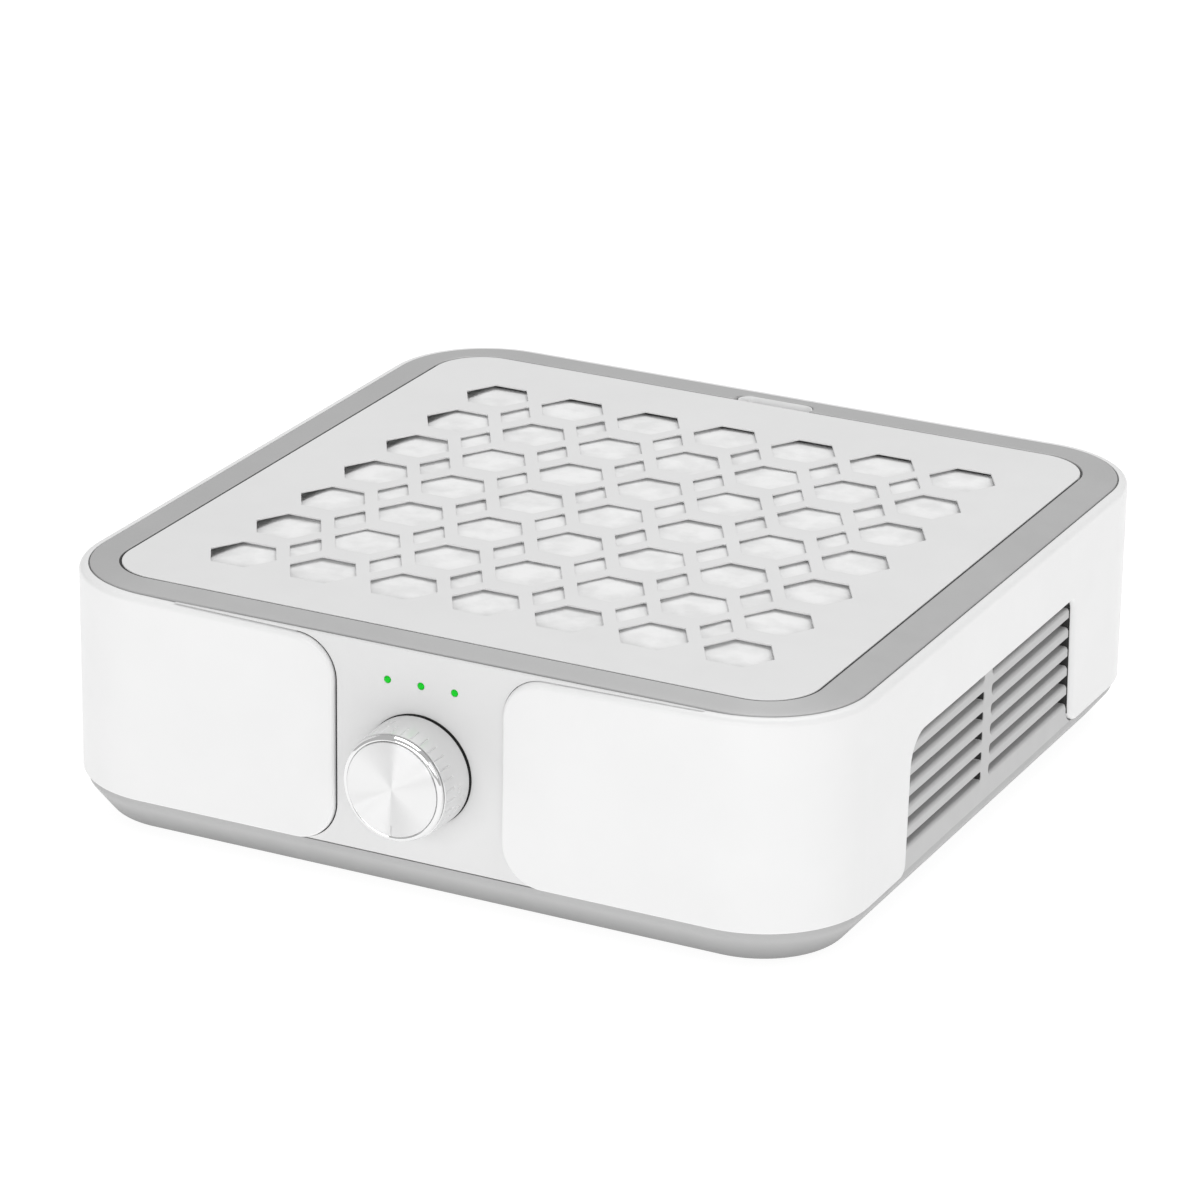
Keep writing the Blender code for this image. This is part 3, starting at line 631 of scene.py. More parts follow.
def spun_metal(name):
    """Aluminium turned on a lathe: fine rings round the knob's axis, and light drawn out across them."""
    material, shader = new_material(name)
    split = point_of(shader)
    offset = add_node(shader, "Math", {1: KNOB_HEIGHT * MM}, "SUBTRACT")
    join = add_node(shader, "CombineXYZ")
    length = add_node(shader, "VectorMath", (), "LENGTH")
    rings = add_node(shader, "TexNoise", {"Scale": 9000.0, "Detail": 4.0})
    rings.noise_dimensions = "1D"
    link(split, "Z", offset, 0)
    link(split, "X", join, "X")
    link(offset, "Value", join, "Y")
    link(join, "Vector", length, 0)
    link(length, "Value", rings, "W")
    vary_colour(shader, rings, grey(0.85), grey(0.89))
    vary_roughness(shader, rings, 0.33, 0.39)
    add_bump(shader, rings, 0.06, 0.00002)
    tangent = add_node(shader, "Tangent")
    tangent.direction_type = "RADIAL"
    tangent.axis = "Y"
    link(tangent, "Tangent", shader, "Tangent")
    tune(shader, {"Metallic": 1.0, "Anisotropic": 1.0, "Anisotropic Rotation": 0.25})
    return material


def base_plastic_painted_shade():
    """The base's grey moulding, darker than the louvres of the same tray and darker still towards its foot:
    painted shade on the chamfer that faces the floor.
    """
    material = moulding("base_plastic_painted_shade", grey(0.46), 0.5, 1500.0, 0.3)
    shader = material.node_tree.nodes["Principled BSDF"]
    mottle = shader.inputs["Base Color"].links[0].from_node
    # Painted shade: the colour falls to half towards the base's foot, where the chamfer turns down away
    # from the light
    height = add_node(shader, "MapRange", {"To Min": 0.5, "To Max": 1.0})
    tune(height, {"From Min": BASE_BOTTOM * MM, "From Max": STRIP_BOTTOM * MM})
    painted_shade = add_node(shader, "VectorMath", (), "SCALE")
    link(point_of(shader), "Z", height, "Value")
    link(mottle, "Color", painted_shade, 0)
    link(height, "Result", painted_shade, "Scale")
    link(painted_shade, "Vector", shader, "Base Color")
    return material


def glowing(name, colour, strength):
    """A lit lens, a little uneven in colour."""
    material, shader = new_material(name)
    ramp = vary_colour(shader, noise(shader, 1500.0), tuple(value * 0.85 for value in colour), colour)
    link(ramp, "Color", shader, "Emission Color")
    tune(shader, {"Emission Strength": strength, "Roughness": 0.25, "Specular IOR Level": 0.15})
    return material


# -------- shell

def round_body(along, height, inset):
    """A point on the body's wall, by the distance along it from the middle of the front."""
    along %= ROUND_LENGTH
    side, rest = divmod(along + FLAT, 2 * FLAT + QUARTER_ARC)
    if rest <= 2 * FLAT:
        x, y = rest - FLAT, inset - BODY_HALF
    else:
        angle = (rest - 2 * FLAT) / BODY_RADIUS - pi / 2
        radius = BODY_RADIUS - inset
        x, y = FLAT + radius * cos(angle), -FLAT + radius * sin(angle)
    turn = side * pi / 2
    return x * cos(turn) - y * sin(turn), x * sin(turn) + y * cos(turn), height


def graded(points, first, last=None):
    """Points with an edge radius added, which goes from one value to another."""
    growth = 0.0 if last is None else last - first
    return [(*point, first + growth * step / (len(points) - 1)) for step, point in enumerate(points)]


def shell_half():
    """The wall's edge on the +X side: its bottom from the front to the back, and its top back again.

    Each point is (distance along the wall from the middle of the front, height, edge radius)."""
    corner = [FLAT + QUARTER_ARC * step / CORNER_STEPS for step in range(CORNER_STEPS + 1)]
    second = [along + 2 * FLAT + QUARTER_ARC for along in corner]
    middle = 2 * FLAT + QUARTER_ARC

    def vent_end(side):
        """The centre and radius of the arcs at an end's foot and at its upper corner."""
        edge, lean, foot, radius, _ = VENT_ENDS[side]
        low = (middle + edge + side * lean + side * foot, SHELL_BOTTOM + foot)
        return (low, foot), ((middle + edge - side * radius, VENT_TOP - radius), radius)

    (foot_front, high_front), (foot_back, high_back) = vent_end(-1), vent_end(1)
    front = [(along, SHELL_BOTTOM) for along in (CONTROL_START, *corner)]
    bottom = graded(front + arc(*foot_front, -90, 0, 8) + arc(*high_front, 180, 90, 14), FILLET_BOTTOM)
    bottom += graded(arc(*high_back, 90, 0, 7), FILLET_BOTTOM, FILLET_VENT)
    bottom += graded(arc(*foot_back, 180, 270, 8), FILLET_VENT, FILLET_BOTTOM)
    bottom += [(along, SHELL_BOTTOM, FILLET_BOTTOM) for along in second]
    top = [(along, RIM_TOP, FILLET_TOP) for along in reversed(second)]
    for along in reversed(corner):
        top.append((along, min(RIM_TOP, WING_TOP + (along - CONTROL_START) * WING_SLOPE), FILLET_TOP))
    upper = arc((CONTROL_START, WING_TOP - CONTROL_RADIUS), CONTROL_RADIUS, 90, 180, 14)
    lower = arc((CONTROL_START, SHELL_BOTTOM + CONTROL_RADIUS), CONTROL_RADIUS, 180, 270, 14)
    top += graded(upper, FILLET_TOP, FILLET_WING) + graded(lower, FILLET_WING, FILLET_BOTTOM)[:-1]
    return bottom, top


def make_shell(material):
    bottom, top = shell_half()
    far = [[(ROUND_LENGTH - along, *rest) for along, *rest in reversed(half)] for half in (bottom, top)]
    edge = bottom + far[0] + far[1] + top
    loop = [(along, height) for along, height, _ in edge]
    jack_x, _, jack_z = middle_of("power_jack")
    hole = circle(JACK_HOLE_RADIUS, 48, (ROUND_LENGTH / 2 - jack_x, jack_z))[::-1]
    radii = [[radius for _, _, radius in edge], [JACK_HOLE_EDGE] * len(hole)]
    places = {}
    for number, (along, _) in enumerate(loop):
        places.setdefault(round(along, 4), []).append(number)
    # Lines across the wall at the rounded corners, so that it bends evenly there
    lines = []
    for along, found in places.items():
        side = (along + FLAT) % (2 * FLAT + QUARTER_ARC)
        if len(found) == 2 and side >= 2 * FLAT - 0.01:
            lines.append(tuple(found))
    levels = edge_levels(SHELL_WALL, 1.0, 0.25, 5)
    skin = plate([loop, hole], levels, round_body, radii, lines)
    piece("outer_shell_wall", *skin, material, "shell_white", ["outer_shell"])


def notch_loop(grow=0.0):
    """The finger notch in plan, anticlockwise."""
    middle_y = OPENING_BACK + NOTCH_REACH - NOTCH_DEEP
    return rounded(NOTCH_HALF + grow, NOTCH_DEEP + grow, NOTCH_RADIUS + grow, middle_y, 10)


def make_shelf(material):
    """The ledge inside the rim that carries the ring and the panel, with its magnet pockets and notch."""
    places = plan_places("magnet")
    holes = [square_loop(SHELF_INSET)[::-1], notch_loop()[::-1]]
    holes += [circle(POCKET_RADIUS, 32, place)[::-1] for place in places]
    outer = square_loop(SHELL_WALL - 0.1)
    skins = [plate([outer, *holes], edge_levels(SHELF_THICK, 0.25), level_place(SHELF_TOP))]
    for place in places:
        pad = circle(POCKET_PAD_RADIUS, 32, place)
        skins.append(plate([pad], straight(0, POCKET_PAD_THICK), level_place(POCKET_PAD_TOP)))
    piece("shelf", *merged(*skins), material, "shell_white")
    make_notch_dish(material)


def make_notch_dish(material):
    """The white scoop in the notch, for a fingertip: its rim rises behind the panel's edge."""
    rings = []
    for grow, height, share in DISH_LEVELS:
        ring = []
        for x, y in notch_loop(grow):
            rise = min(1.0, max(0.0, (y - OPENING_BACK - 0.5) / 2.2))
            climb = share * rise * rise * (3 - 2 * rise)
            ring.append((x, y, height + (TOP - DISH_BELOW_TOP - height) * climb))
        rings.append(ring)
    points, faces = rows_skin(rings)
    count = len(rings[0])
    faces += [tuple(range(count)), tuple(range(len(points) - count, len(points)))]
    piece("notch_dish", points, faces, material, "shell_white")


# -------- top

def ring_loops():
    """The ring's inner and outer edges with matching points; the inner one takes in the notch."""
    steps = CORNER_STEPS
    inner = rounded(PANEL_HALF_X + PANEL_GAP, PANEL_HALF_Y + PANEL_GAP, OPENING_RADIUS, PANEL_CENTRE_Y)
    outer = rounded(RING_HALF, RING_HALF, RING_RADIUS)
    edge = OPENING_BACK
    back = edge + NOTCH_REACH
    notch = arc((NOTCH_HALF + NOTCH_LIP, edge + NOTCH_LIP), NOTCH_LIP, 270, 180, 5)
    notch += arc((NOTCH_HALF - NOTCH_RADIUS, back - NOTCH_RADIUS), NOTCH_RADIUS, 0, 90, 10)
    notch += [(-x, y) for x, y in reversed(notch)]
    spread = 19.0
    across = [spread * (1 - 2 * place / (len(notch) - 1)) for place in range(len(notch))]
    first = 0.5 * (inner[steps][0] + spread)
    inner[steps + 1:steps + 1] = [(first, edge), *notch, (-first, edge)]
    outer[steps + 1:steps + 1] = [(x, RING_HALF) for x in (first, *across, -first)]
    return inner, outer


def make_ring(material):
    inner, outer = ring_loops()
    inner_in = shifted(inner[::-1], [1.0] * len(inner))[::-1]
    outer_in = shifted(outer, [1.0] * len(outer))

    def top_height(point, share):
        """The ring's top falls outwards; behind the notch it falls from the notch's edge."""
        reach = point[1] - OPENING_BACK
        if abs(point[0]) < NOTCH_HALF + 2 and reach > 0:
            share = min(1.0, max(share, reach / (NOTCH_REACH + 5.0)))
        return TOP - RING_DROP * share

    def edge_row(loop, moved, share, back, drop):
        pairs = zip(blend(loop, moved, back), loop)
        return [(*flat, top_height(point, share) - drop) for flat, point in pairs]

    turns = [pi / 8 * step for step in range(5)]
    rounds = [(RING_EDGE * (1 - cos(turn)), RING_EDGE * (1 - sin(turn))) for turn in turns]
    rows = [[(x, y, RING_BOTTOM) for x, y in inner]]
    rows += [edge_row(inner, inner_in, 0.0, back, drop) for back, drop in rounds]
    for share in (0.2, 0.4, 0.6, 0.8):
        rows.append([(*point, top_height(point, share)) for point in blend(inner, outer, share)])
    rows += [edge_row(outer, outer_in, 1.0, back, drop) for drop, back in rounds]
    rows.append([(x, y, RING_BOTTOM) for x, y in outer])
    piece("ring", *rows_skin(rows, True), material, "ring_silver", ["top_ring"])


def grid_of(count, start, corners):
    """Holes with these corners on a square grid, clockwise."""
    steps = [(start + step) * PITCH for step in range(count)]
    loops = []
    for y in steps:
        for x in steps:
            shape = [(x + across, y + GRID_CENTRE_Y + up) for across, up in corners]
            loops.append(round_corners(shape, HOLE_CORNER, 3)[::-1])
    return loops


def panel_outline(inset, radius=PANEL_RADIUS):
    return rounded(PANEL_HALF_X - inset, PANEL_HALF_Y - inset, radius, PANEL_CENTRE_Y)


def make_panel(material):
    outline = panel_outline(0.2)
    start = -(GRID_COUNT - 1) / 2
    hexagon = circle(HEX_SIDE, 6)
    half_x, half_y = LOZENGE_HALF_X, LOZENGE_HALF_Y
    lozenge = [(half_x, 0.0), (0.0, half_y), (-half_x, 0.0), (0.0, -half_y)]
    holes = grid_of(GRID_COUNT, start, hexagon) + grid_of(GRID_COUNT - 1, start + 0.5, lozenge)
    radii = [[GAP] * len(outline), *([HOLE_EDGE] * len(hole) for hole in holes)]
    sheet = plate([outline, *holes], edge_levels(SHEET, 1.0, 0.1, 3), level_place(TOP), radii)
    loops = [panel_outline(0.22), panel_outline(BORDER, PANEL_RADIUS - BORDER)[::-1]]
    border = plate(loops, edge_levels(BORDER_THICK, 0.0, 0.4, 3), level_place(TOP - BORDER_DOWN))
    piece("grille", *merged(sheet, border), material, "panel_grey", ["grille_panel"], "grille")


# -------- filter

def media_height(x, y, half):
    """The cloth's top: crowned, softly uneven, and drawn down where it meets the frame."""
    edge = half - max(abs(x), abs(y))
    dip = 2.3 * exp(-(edge / 5.0) ** 2) + 0.5 * exp(-edge / 12.0)
    swell = 0.18 * sin(x / 9.0 + 0.8) * sin(y / 11.0) + 0.12 * sin((x + y) / 6.1)
    return MEDIA_HIGH.z + MEDIA_CROWN - dip + swell * (1 - exp(-edge / 8.0))


def make_filter(material):
    """A pad on a square grid of points, its corners drawn in to a radius."""
    half = MEDIA_HIGH.x
    count = MEDIA_STEPS
    row = count + 1
    flat = half - MEDIA_RADIUS

    def place(number, other):
        x, y = (2 * half * number / count - half), (2 * half * other / count - half)
        dx, dy = abs(x) - flat, abs(y) - flat
        if dx > 0 and dy > 0:
            scale = max(dx, dy) / hypot(dx, dy)
            x = (flat + dx * scale) * (1 if x > 0 else -1)
            y = (flat + dy * scale) * (1 if y > 0 else -1)
        return x, y

    grid = [place(number, other) for number in range(row) for other in range(row)]
    points = [(x, y, media_height(x, y, half)) for x, y in grid] + [(x, y, MEDIA_LOW.z) for x, y in grid]
    base = len(grid)
    faces = []
    for number in range(count):
        for other in range(count):
            one = number * row + other
            faces.append((one, one + row, one + row + 1, one + 1))
            faces.append((base + one, base + one + 1, base + one + row + 1, base + one + row))
    numbers = range(count)
    rim = [number * row for number in numbers] + [count * row + number for number in numbers]
    rim += [(count - number) * row + count for number in numbers] + [count - number for number in numbers]
    faces += [(one, two, base + two, base + one) for one, two in zip(rim, rim[1:] + rim[:1])]
    skin = points, faces
    pad = piece("filter_cloth", *skin, material, "filter_cloth", ["filter_media"], "filter", 60, False)


def make_filter_frame(material):
    low, high = box_mm("filter_frame")
    inner = MEDIA_HIGH.x + GAP
    loops = [rounded(high.x, high.x, FRAME_RADIUS), rounded(inner, inner, FRAME_BORE_RADIUS)[::-1]]
    skin = plate(loops, edge_levels(high.z - low.z, 0.8, 0.4), level_place(high.z))
    piece("filter_rim", *skin, material, "filter_frame_white", ["filter_frame"], "filter")


# -------- base

def make_base(material):
    profile = rounded_profile([
        (BASE_FLOOR_INSET, BASE_BOTTOM, 0), (CHAMFER_IN, BASE_BOTTOM, 1.2),
        (0.0, STRIP_BOTTOM, 1.0), (0.0, STRIP_TOP, 0), (BASE_WALL, STRIP_TOP, 0),
        (BASE_WALL, STRIP_BOTTOM + 0.6, 0), (CHAMFER_IN + 1.0, BASE_FLOOR_TOP, 0),
    ], 5)
    rows = [[(*point, height) for point in square_loop(SETBACK + inset)] for inset, height in profile]
    flange = rows_skin(rows)
    axes = plan_places("screw")
    loops = [square_loop(SETBACK + BASE_FLOOR_INSET)]
    loops += [circle(WELL_RADIUS, 32, axis)[::-1] for axis in axes]
    floor = [(x, y, BASE_BOTTOM) for loop in loops for x, y in loop], fill(loops)
    well = [(0.0, WELL_TOP), (WELL_RADIUS, WELL_TOP), (WELL_RADIUS, BASE_BOTTOM)]
    wells = [turned(well, 32, upright_axis(*axis)) for axis in axes]
    top_loop = square_loop(SETBACK + profile[-1][0])
    above = [(x, y, BASE_FLOOR_TOP) for x, y in top_loop], fill([top_loop])
    skin = merged(flange, floor, *wells, above)
    piece("base", *skin, material, "housing_grey", ["base_tray"], sharp=30)
    bosses = [turned(BOSS_PROFILE, 32, upright_axis(*axis)) for axis in axes]
    piece("base_bosses", *merged(*bosses), material, "housing_grey")


def pad_end(side, height):
    """Where the louvred pad's front (-1) or back (1) edge is at a height, just inside the opening."""
    edge, lean, foot, radius, gap = VENT_ENDS[side]
    low, high = SHELL_BOTTOM + foot, VENT_TOP - radius
    edge += side * lean * min(1.0, max(0.0, (high - height) / (high - low)))
    if height < low:
        return edge + side * (foot - sqrt((foot + gap) ** 2 - (low - height) ** 2))
    return edge - side * (radius - sqrt((radius - gap) ** 2 - max(0.0, height - high) ** 2))


def comb_side(side):
    """The pad's front (-1) or back (1) outline from the bottom up, cut by the slots as far as the bar."""
    radius = SLOT_END_RADIUS
    bar = BAR_CENTRE + side * BAR_WIDTH / 2
    points = [(pad_end(side, max(height, PAD_FOOT[0])), height) for height in (STRIP_TOP, *PAD_FOOT)]
    for low, high in SLOTS:
        points.append((pad_end(side, low), low))
        points += arc((bar + side * radius, low + radius), radius, 90 + 180 * side, 90 + 90 * side, 5)
        if low == SLOTS[-1][0]:
            points.append((bar, VENT_TOP - GAP))
            break
        points += arc((bar + side * radius, high - radius), radius, 90 + 90 * side, 90, 5)
        for part in (0.0, 0.33, 0.66):
            between = high + (SLOT_PITCH - SLOT_HEIGHT) * part
            points.append((pad_end(side, between), between))
    return points


def slot_loops():
    """The slots through the wall behind the pad, clockwise."""
    front = LOUVRE_FRONT + SLOT_END_MARGIN, BAR_CENTRE - BAR_WIDTH / 2
    back = BAR_CENTRE + BAR_WIDTH / 2, LOUVRE_BACK - SLOT_END_MARGIN
    corners = [rectangle(start, low, end, high) for low, high in SLOTS for start, end in (front, back)]
    return [round_corners(slot, SLOT_END_RADIUS, 5)[::-1] for slot in corners]


def pad_edge(height):
    """The pad's edge radius: sharp at its foot, rounder along the top of each slat."""
    if height < STRIP_TOP + 0.1:
        return 0.02
    return SLAT_ROUND if any(abs(height - low) < 0.01 for low, _ in SLOTS) else SLAT_EDGE


def shadow_strip_edge(near, far, bottom):
    """A black strip along the pad's back edge, between two distances from it, as painted shadow."""
    straight_top = PAD_BACK_CORNER[0] - 0.6
    heights = [bottom + (straight_top - bottom) * step / 15 for step in range(16)] + [*PAD_BACK_CORNER]
    outer = [(pad_end(1, height) + far, height) for height in heights]
    return outer + [(pad_end(1, height) + near, height) for height in reversed(heights)]


def shadow_strip_loops():
    """Black strips as painted shadow behind the pad's back edge and at the back end of each front slot,
    anticlockwise.
    """
    loops = [shadow_strip_edge(-0.35, COMB_BACK_GAP - 0.05, 18.0)]
    end = BAR_CENTRE - BAR_WIDTH / 2
    return loops + [rectangle(end - 0.3, low + 0.15, end + 0.3, high - 0.15) for low, high in SLOTS[:-1]]


def make_louvres(material, shadow_strip_material):
    for side, label in ((-1, "left"), (1, "right")):
        def place(along, height, depth):
            return side * (HOUSING_HALF - depth), along, height
        pad = comb_side(1) + comb_side(-1)[::-1]
        edges = [pad_edge(height) for _, height in pad]
        front = plate([pad], edge_levels(LOUVRE_PAD_THICK, 1.0), place, [edges])
        wall = rectangle(LOUVRE_FRONT, STRIP_BOTTOM + 0.5, LOUVRE_BACK, LOUVRE_TOP)
        levels = straight(LOUVRE_PAD_THICK, HOUSING_HALF - LOUVRE_INNER)
        back = plate([wall, *slot_loops()], levels, place)
        piece(f"louvre_{label}", *merged(front, back), material, "housing_grey", ["base_tray"])
        # Black strips in the vent: painted shadow behind the pad and at the slots' back ends
        shadow_strips = [plate([loop], straight(0.3, 4.9), place) for loop in shadow_strip_loops()]
        shadow_strips.append(plate([shadow_strip_edge(0.05, 0.4, 16.5)], straight(-0.12, 0.35), place))
        piece(f"louvre_shadow_strip_{label}", *merged(*shadow_strips), shadow_strip_material, "control_dark")


def make_feet(material):
    for number, place in enumerate(plan_places("foot"), 1):
        skin = turned(rounded_profile(FOOT_PROFILE), 64, upright_axis(*place))
        piece(f"foot_pad_{number}", *skin, material, "rubber_dark", [f"foot_{number}"])


# -------- front

def front_place(x, z, depth):
    """Places a flat point at a depth behind the fascia's face."""
    return x, depth - HOUSING_HALF, z


def control_half(low_gap, side_gap, high_gap):
    """Half of the fascia's outline at +X, from the bottom to the top, with the gaps round it."""
    low = (CONTROL_START, SHELL_BOTTOM + CONTROL_RADIUS)
    high = (CONTROL_START, WING_TOP - CONTROL_RADIUS)
    first, side, last = (CONTROL_RADIUS + gap for gap in (low_gap, side_gap, high_gap))
    start = 180 + asin(CONTROL_RADIUS / first) * 180 / pi
    points = arc(low, first, start, 180, 14, side) + arc(high, side, 180, 90, 14, last)
    return points + [(CONTROL_START + (PAD_TOP - WING_TOP - high_gap) / WING_SLOPE, PAD_TOP - 0.02)]


def make_fascia(material, painted_shadow_material):
    right = control_half(TIGHT_GAP, TIGHT_GAP, TIGHT_GAP)
    left = control_half(TIGHT_GAP, CONTROL_GAP, GAP)
    outline = right + [(-x, z) for x, z in reversed(left)]
    lights = [circle(LIGHT_RADIUS + 0.12, 32, (x, LIGHT_HEIGHT))[::-1] for x in LIGHT_PLACES]
    knob = (0.0, KNOB_HEIGHT)
    core = [rectangle(*FASCIA_CORE), *lights, circle(SPINDLE_HOLE_RADIUS, 40, knob)[::-1]]
    back = plate(core, straight(FASCIA_FACE_THICK, FASCIA_THICK), front_place)
    loops = [outline, *lights, circle(KNOB_RADIUS + 0.1, 96, knob)[::-1]]
    radii = [[FASCIA_EDGE] * len(loop) for loop in loops]
    face = plate(loops, edge_levels(FASCIA_FACE_THICK, 1.0, 0.0, 3), front_place, radii)
    piece("fascia", *merged(face, back), material, "housing_grey", ["front_fascia"])
    # A black disc just behind the knob, as painted shadow of the knob on the fascia
    behind, front = HOUSING_HALF - KNOB_SHADOW_BACK, HOUSING_HALF - KNOB_SHADOW_FRONT
    radius = KNOB_RADIUS + 0.05
    shadow_disc_profile = [(KNOB_SHADOW_BORE, behind, 0), (radius, behind, 0), (radius, front, 0.1), (KNOB_SHADOW_BORE, front, 0)]
    skin = turned(rounded_profile(shadow_disc_profile), 96, forward_axis(*knob))
    piece("knob_painted_shadow", *skin, painted_shadow_material, "control_dark")


def make_gap_shadow_strips(material):
    """Thin black strips as painted shadow in the gaps: down the left wing's edge, and round the front and
    sides of the grille.
    """
    wide = control_half(TIGHT_GAP, CONTROL_GAP + 0.1, GAP + 0.1)[8:-1]
    tight = control_half(TIGHT_GAP, 0.05, 0.05)[8:-1]

    def left_place(x, z, depth):
        return front_place(-x, z, depth)

    strip = plate([wide + tight[::-1]], straight(0.25, 1.1), left_place)
    piece("wing_gap_shadow", *strip, material, "control_dark")
    loop = gap_shadow_path(PANEL_GAP - 0.05) + gap_shadow_path(-0.12)[::-1]
    around = plate([loop], straight(0.22, 1.6), level_place(TOP))
    piece("grille_gap_shadow", *around, material, "control_dark")


def gap_shadow_path(grow):
    """From the left side's back end, round the front of the grille, to the right side's back end."""
    loop = panel_outline(-grow, PANEL_RADIUS + grow)
    return loop[2 * CORNER_STEPS + 1:4 * CORNER_STEPS + 4] + loop[:1]


def make_lights(material):
    face = HOUSING_HALF - 0.1
    for number, x in enumerate(LIGHT_PLACES, 1):
        profile = [(0.0, LIGHT_BACK), (LIGHT_RADIUS, LIGHT_BACK), (LIGHT_RADIUS, face)]
        for turn in (pi / 12 * step for step in range(1, 6)):
            profile.append((LIGHT_RADIUS * cos(turn), face + LIGHT_DOME * sin(turn)))
        skin = turned([*profile, (0.0, face + LIGHT_DOME)], 32, forward_axis(x, LIGHT_HEIGHT))
        piece(f"light_{number}", *skin, material, "light_green", [f"indicator_{number}"], sharp=60)


def knob_dent(angle, depth):
    """Fine cut lines along the front half of the knob's side."""
    if not GROOVE_TO < KNOB_FRONT - depth < GROOVE_FROM:
        return 0.0
    turn = (angle / (2 * pi) * GROOVES) % 1.0
    return GROOVE_DEEP if abs(turn - 0.5) < GROOVE_SHARE else 0.0


def knob_skin(steps, corners, dent=None):
    """A turned part of the knob, from (radius, distance behind its face, edge radius)."""
    profile = [(radius, KNOB_FRONT - behind, edge) for radius, behind, edge in corners]
    return turned(rounded_profile(profile), steps, forward_axis(0.0, KNOB_HEIGHT), dent)


def make_knob(body_material, bevel_material, cap_material):
    rim, cap = KNOB_FRONT_RADIUS, CAP_RADIUS
    skin = knob_skin(320, [
        (cap, KNOB_DEEP, 0), (KNOB_RADIUS, KNOB_DEEP, 0.35), (KNOB_RADIUS - 0.3, 7.1, 0),
        (KNOB_RADIUS - 0.31, 6.9, 0), (rim + 0.02, 2.3, 0), (rim + 0.02, 2.2, 0), (rim, 2.0, 0),
        (rim - 0.15, 1.85, 0), (cap, 1.85, 0),
    ], knob_dent)
    piece("knob_side", *skin, body_material, "knob_chrome", ["knob_body"], "knob", 30)
    skin = knob_skin(192, [
        (cap + 0.12, 1.84, 0), (rim - 0.75, 1.84, 0), (rim - 0.7, 1.6, 0), (rim - 0.25, 1.5, 0),
        (rim - 0.18, 1.35, 0.1), (rim - 0.55, 0.5, 0.25), (cap + 0.55, 0.12, 0.15),
        (cap + 0.12, 0.3, 0.1), (cap + 0.12, 0.7, 0),
    ])
    piece("knob_bevel", *skin, bevel_material, "knob_chrome", (), "knob", 50)
    skin = knob_skin(192, [
        (0.0, 1.6, 0), (cap, 1.6, 0), (cap, 0.0, 0.22), (cap * 0.66, 0.03, 0), (cap * 0.33, 0.05, 0),
        (1.2, 0.06, 0), (0.4, 0.07, 0), (0.0, 0.075, 0),
    ])
    face = piece("knob_face", *skin, cap_material, "knob_spun", ["knob_cap"], "knob", 50, False)
    mark = rectangle(-MARK_HALF, -cap - 0.5, MARK_HALF, MARK_LENGTH - cap)

    def mark_place(x, z, depth):
        return x, depth - KNOB_FRONT, KNOB_HEIGHT + z

    groove(face, *plate([mark], straight(-0.5, MARK_DEEP), mark_place))


def groove(obj, points, faces):
    """Cuts a helper of these points out of the object, for good."""
    helper = add_object("groove", closed_mesh("groove", points, faces))
    cut = obj.modifiers.new("groove", "BOOLEAN")
    settle(cut, operation="DIFFERENCE", object=helper, solver="EXACT")
    graph = bpy.context.evaluated_depsgraph_get()
    done = bpy.data.meshes.new_from_object(obj.evaluated_get(graph))
    obj.modifiers.remove(cut)
    obj.data = done
    bpy.data.objects.remove(helper, do_unlink=True)


# -------- back and inside

def make_jack(material):
    """The power socket: a sleeve with a centre pin."""
    centre_x, _, height = middle_of("power_jack")
    face = BODY_HALF - 0.2
    profile = [
        (0.0, 105.0, 0), (5.8, 105.0, 0), (5.8, face, 0.4), (3.5, face, 0.25), (3.1, face - 0.5, 0),
        (3.1, 109.0, 0), (1.0, 109.0, 0), (1.0, 117.0, 0), (0.55, 117.5, 0), (0.0, 117.6, 0),
    ]
    skin = turned(rounded_profile(profile), 64, forward_axis(centre_x, height, -1))
    piece("jack", *skin, material, "jack_black", ["power_jack"])


def dress(node, material):
    """A carried-over node: its material, softened edges and clean shading."""
    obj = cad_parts[node]
    obj.data.materials.clear()
    obj.data.materials.append(material)
    edge = settle(obj.modifiers.new("edges", "BEVEL"), limit_method="ANGLE", angle_limit=radians(40))
    settle(edge, width=0.25 * MM, segments=2, use_clamp_overlap=True)
    settle(obj.modifiers.new("normals", "WEIGHTED_NORMAL"), keep_sharp=True)


def dress_inside(housing):
    steel = brushed("steel_turned", (0.56, 0.57, 0.58), 0.32, (0.05, 0.05, 1.0))
    black = moulding("fan_plastic", (0.045, 0.045, 0.05), 0.5, 1200.0, 0.3)
    dark = moulding("control_plastic", (0.10, 0.10, 0.11), 0.5)
    nickel = brushed("magnet_plating", (0.60, 0.59, 0.56), 0.22, (1, 1, 1), 0.05)
    zinc = brushed("motor_zinc_plate", grey(0.50), 0.38, (1, 1, 0.1))
    foam = moulding("seal_foam", (0.20, 0.20, 0.21), 0.95, 900.0, 0.9, specular=0.2, sway=0.15)
    board = moulding("board_lacquer", (0.02, 0.16, 0.06), 0.35, 500.0, 0.1, coat=0.3, sway=0.2)
    finishes = {
        "fan_deck": housing, "filter_gasket": foam, "inlet_ring": black, "fan_wheel": black,
        "motor_body": zinc, "motor_shaft": steel, "speed_control": dark, "speed_spindle": steel,
        "speed_nut": steel, "control_board": board,
    }
    finishes.update({f"magnet_{number}": nickel for number in range(1, 5)})
    finishes.update({f"screw_{number}": steel for number in range(1, 5)})
    for node, material in finishes.items():
        dress(node, material)


# -------- studio

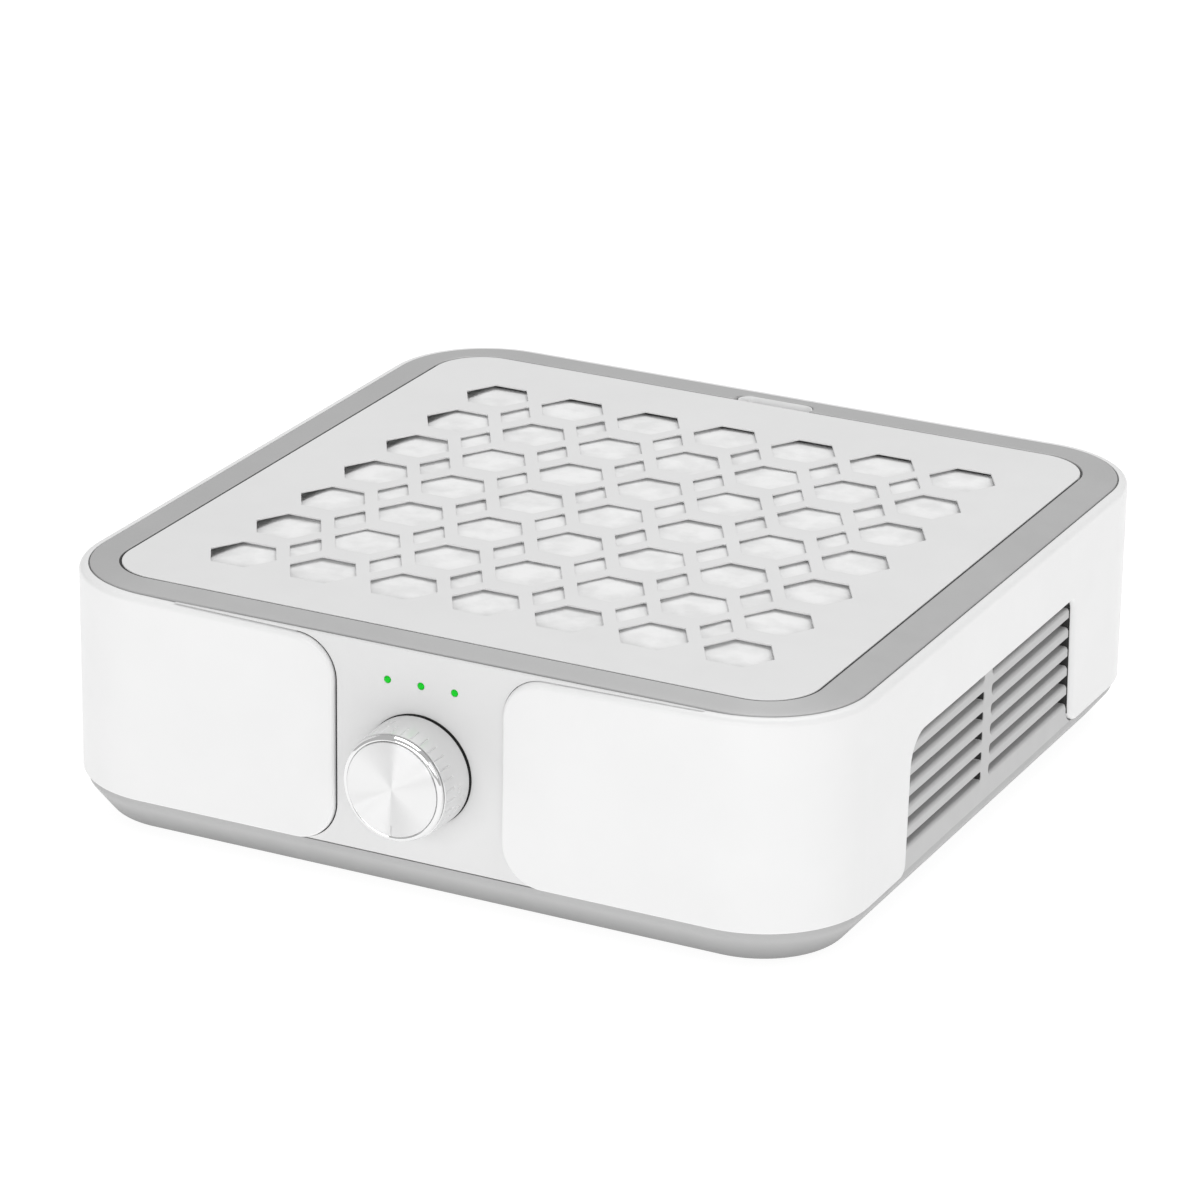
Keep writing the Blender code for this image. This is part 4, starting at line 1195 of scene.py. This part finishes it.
def make_floor():
    """A pale floor that glows a little, so that it runs into the background."""
    material, shader = new_material("studio_floor")
    vary_colour(shader, noise(shader, 3.0), grey(0.30), grey(0.31))
    tune(shader, {"Roughness": 1.0, "Specular IOR Level": 0.0})
    tune(shader, {"Emission Color": (1.0, 1.0, 1.0, 1.0), "Emission Strength": FLOOR_GLOW})
    mesh = bpy.data.meshes.new("studio_floor")
    corners = rectangle(-FLOOR_HALF, -FLOOR_HALF, FLOOR_HALF, FLOOR_HALF)
    mesh.from_pydata([(x, y, 0) for x, y in corners], [], [(0, 1, 2, 3)])
    mesh.materials.append(material)
    floor = add_object("studio_floor", mesh)
    floor.location.z = -0.2 * MM


def make_studio():
    scene = bpy.context.scene
    scene.world = bpy.data.worlds.new("studio")
    scene.world.use_nodes = True
    background = scene.world.node_tree.nodes["Background"]
    tune(background, {"Color": (1.0, 1.0, 1.0, 1.0), "Strength": WORLD_STRENGTH})
    settle(scene.view_settings, view_transform="Standard", look="None", exposure=0.0)
    for name, place, width, height, watts in LIGHTS:
        lamp = bpy.data.lights.new(name, "AREA")
        settle(lamp, shape="RECTANGLE", size=width, size_y=height, energy=watts)
        obj = add_object(name, lamp)
        obj.location = place
        back = (Vector(place) - Vector(LIGHT_TARGET)).normalized()
        obj.rotation_euler = back.to_track_quat("Z", "Y").to_euler()


def make_camera():
    data = bpy.data.cameras.new("camera")
    settle(data, sensor_width=36.0, lens=CAMERA_LENS, clip_start=0.01, clip_end=50.0)
    camera = add_object("camera", data)
    rows = zip(CAMERA_RIGHT, CAMERA_UP, CAMERA_BACK, CAMERA_PLACE)
    camera.matrix_world = Matrix((*rows, (0, 0, 0, 1)))
    bpy.context.scene.camera = camera


def main():
    make_camera()
    white = moulding("shell_white_plastic", grey(0.84), 0.34, coat=0.15)
    housing = moulding("housing_grey_plastic", grey(0.70), 0.48)
    silver = moulding("ring_silver_paint", grey(0.48), 0.42, 2600.0, metallic=0.25, sway=0.03)
    # Near-black for painted shadow: behind the knob, in the vent and in the gaps round the wing and grille
    dark = moulding("painted_shadow_black", grey(0.03), 0.8)
    make_shell(white)
    make_shelf(white)
    make_ring(silver)
    make_panel(moulding("panel_powder_coat", grey(0.78), 0.42, 1600.0, 0.2))
    make_filter(cloth("filter_cloth_fibres"))
    make_filter_frame(moulding("filter_frame_plastic", (0.84, 0.84, 0.83), 0.55))
    make_base(base_plastic_painted_shade())
    make_louvres(moulding("louvre_plastic", grey(0.55), 0.5, 1500.0, 0.3), dark)
    make_feet(moulding("foot_rubber", grey(0.05), 0.85, 900.0, 0.4))
    make_fascia(moulding("fascia_plastic", grey(0.75), 0.45), dark)
    make_gap_shadow_strips(dark)
    make_lights(glowing("light_green_lens", (0.005, 0.52, 0.018), 0.28))
    chrome = moulding("knob_satin_chrome", grey(0.87), 0.3, 1800.0, 0.03, metallic=1.0, sway=0.03)
    polished = moulding("knob_polished_bevel", grey(0.82), 0.07, relief=0.02, metallic=1.0)
    make_knob(chrome, polished, spun_metal("knob_spun_aluminium"))
    make_jack(moulding("jack_plastic", grey(0.03), 0.42))
    dress_inside(housing)
    make_floor()
    make_studio()


main()
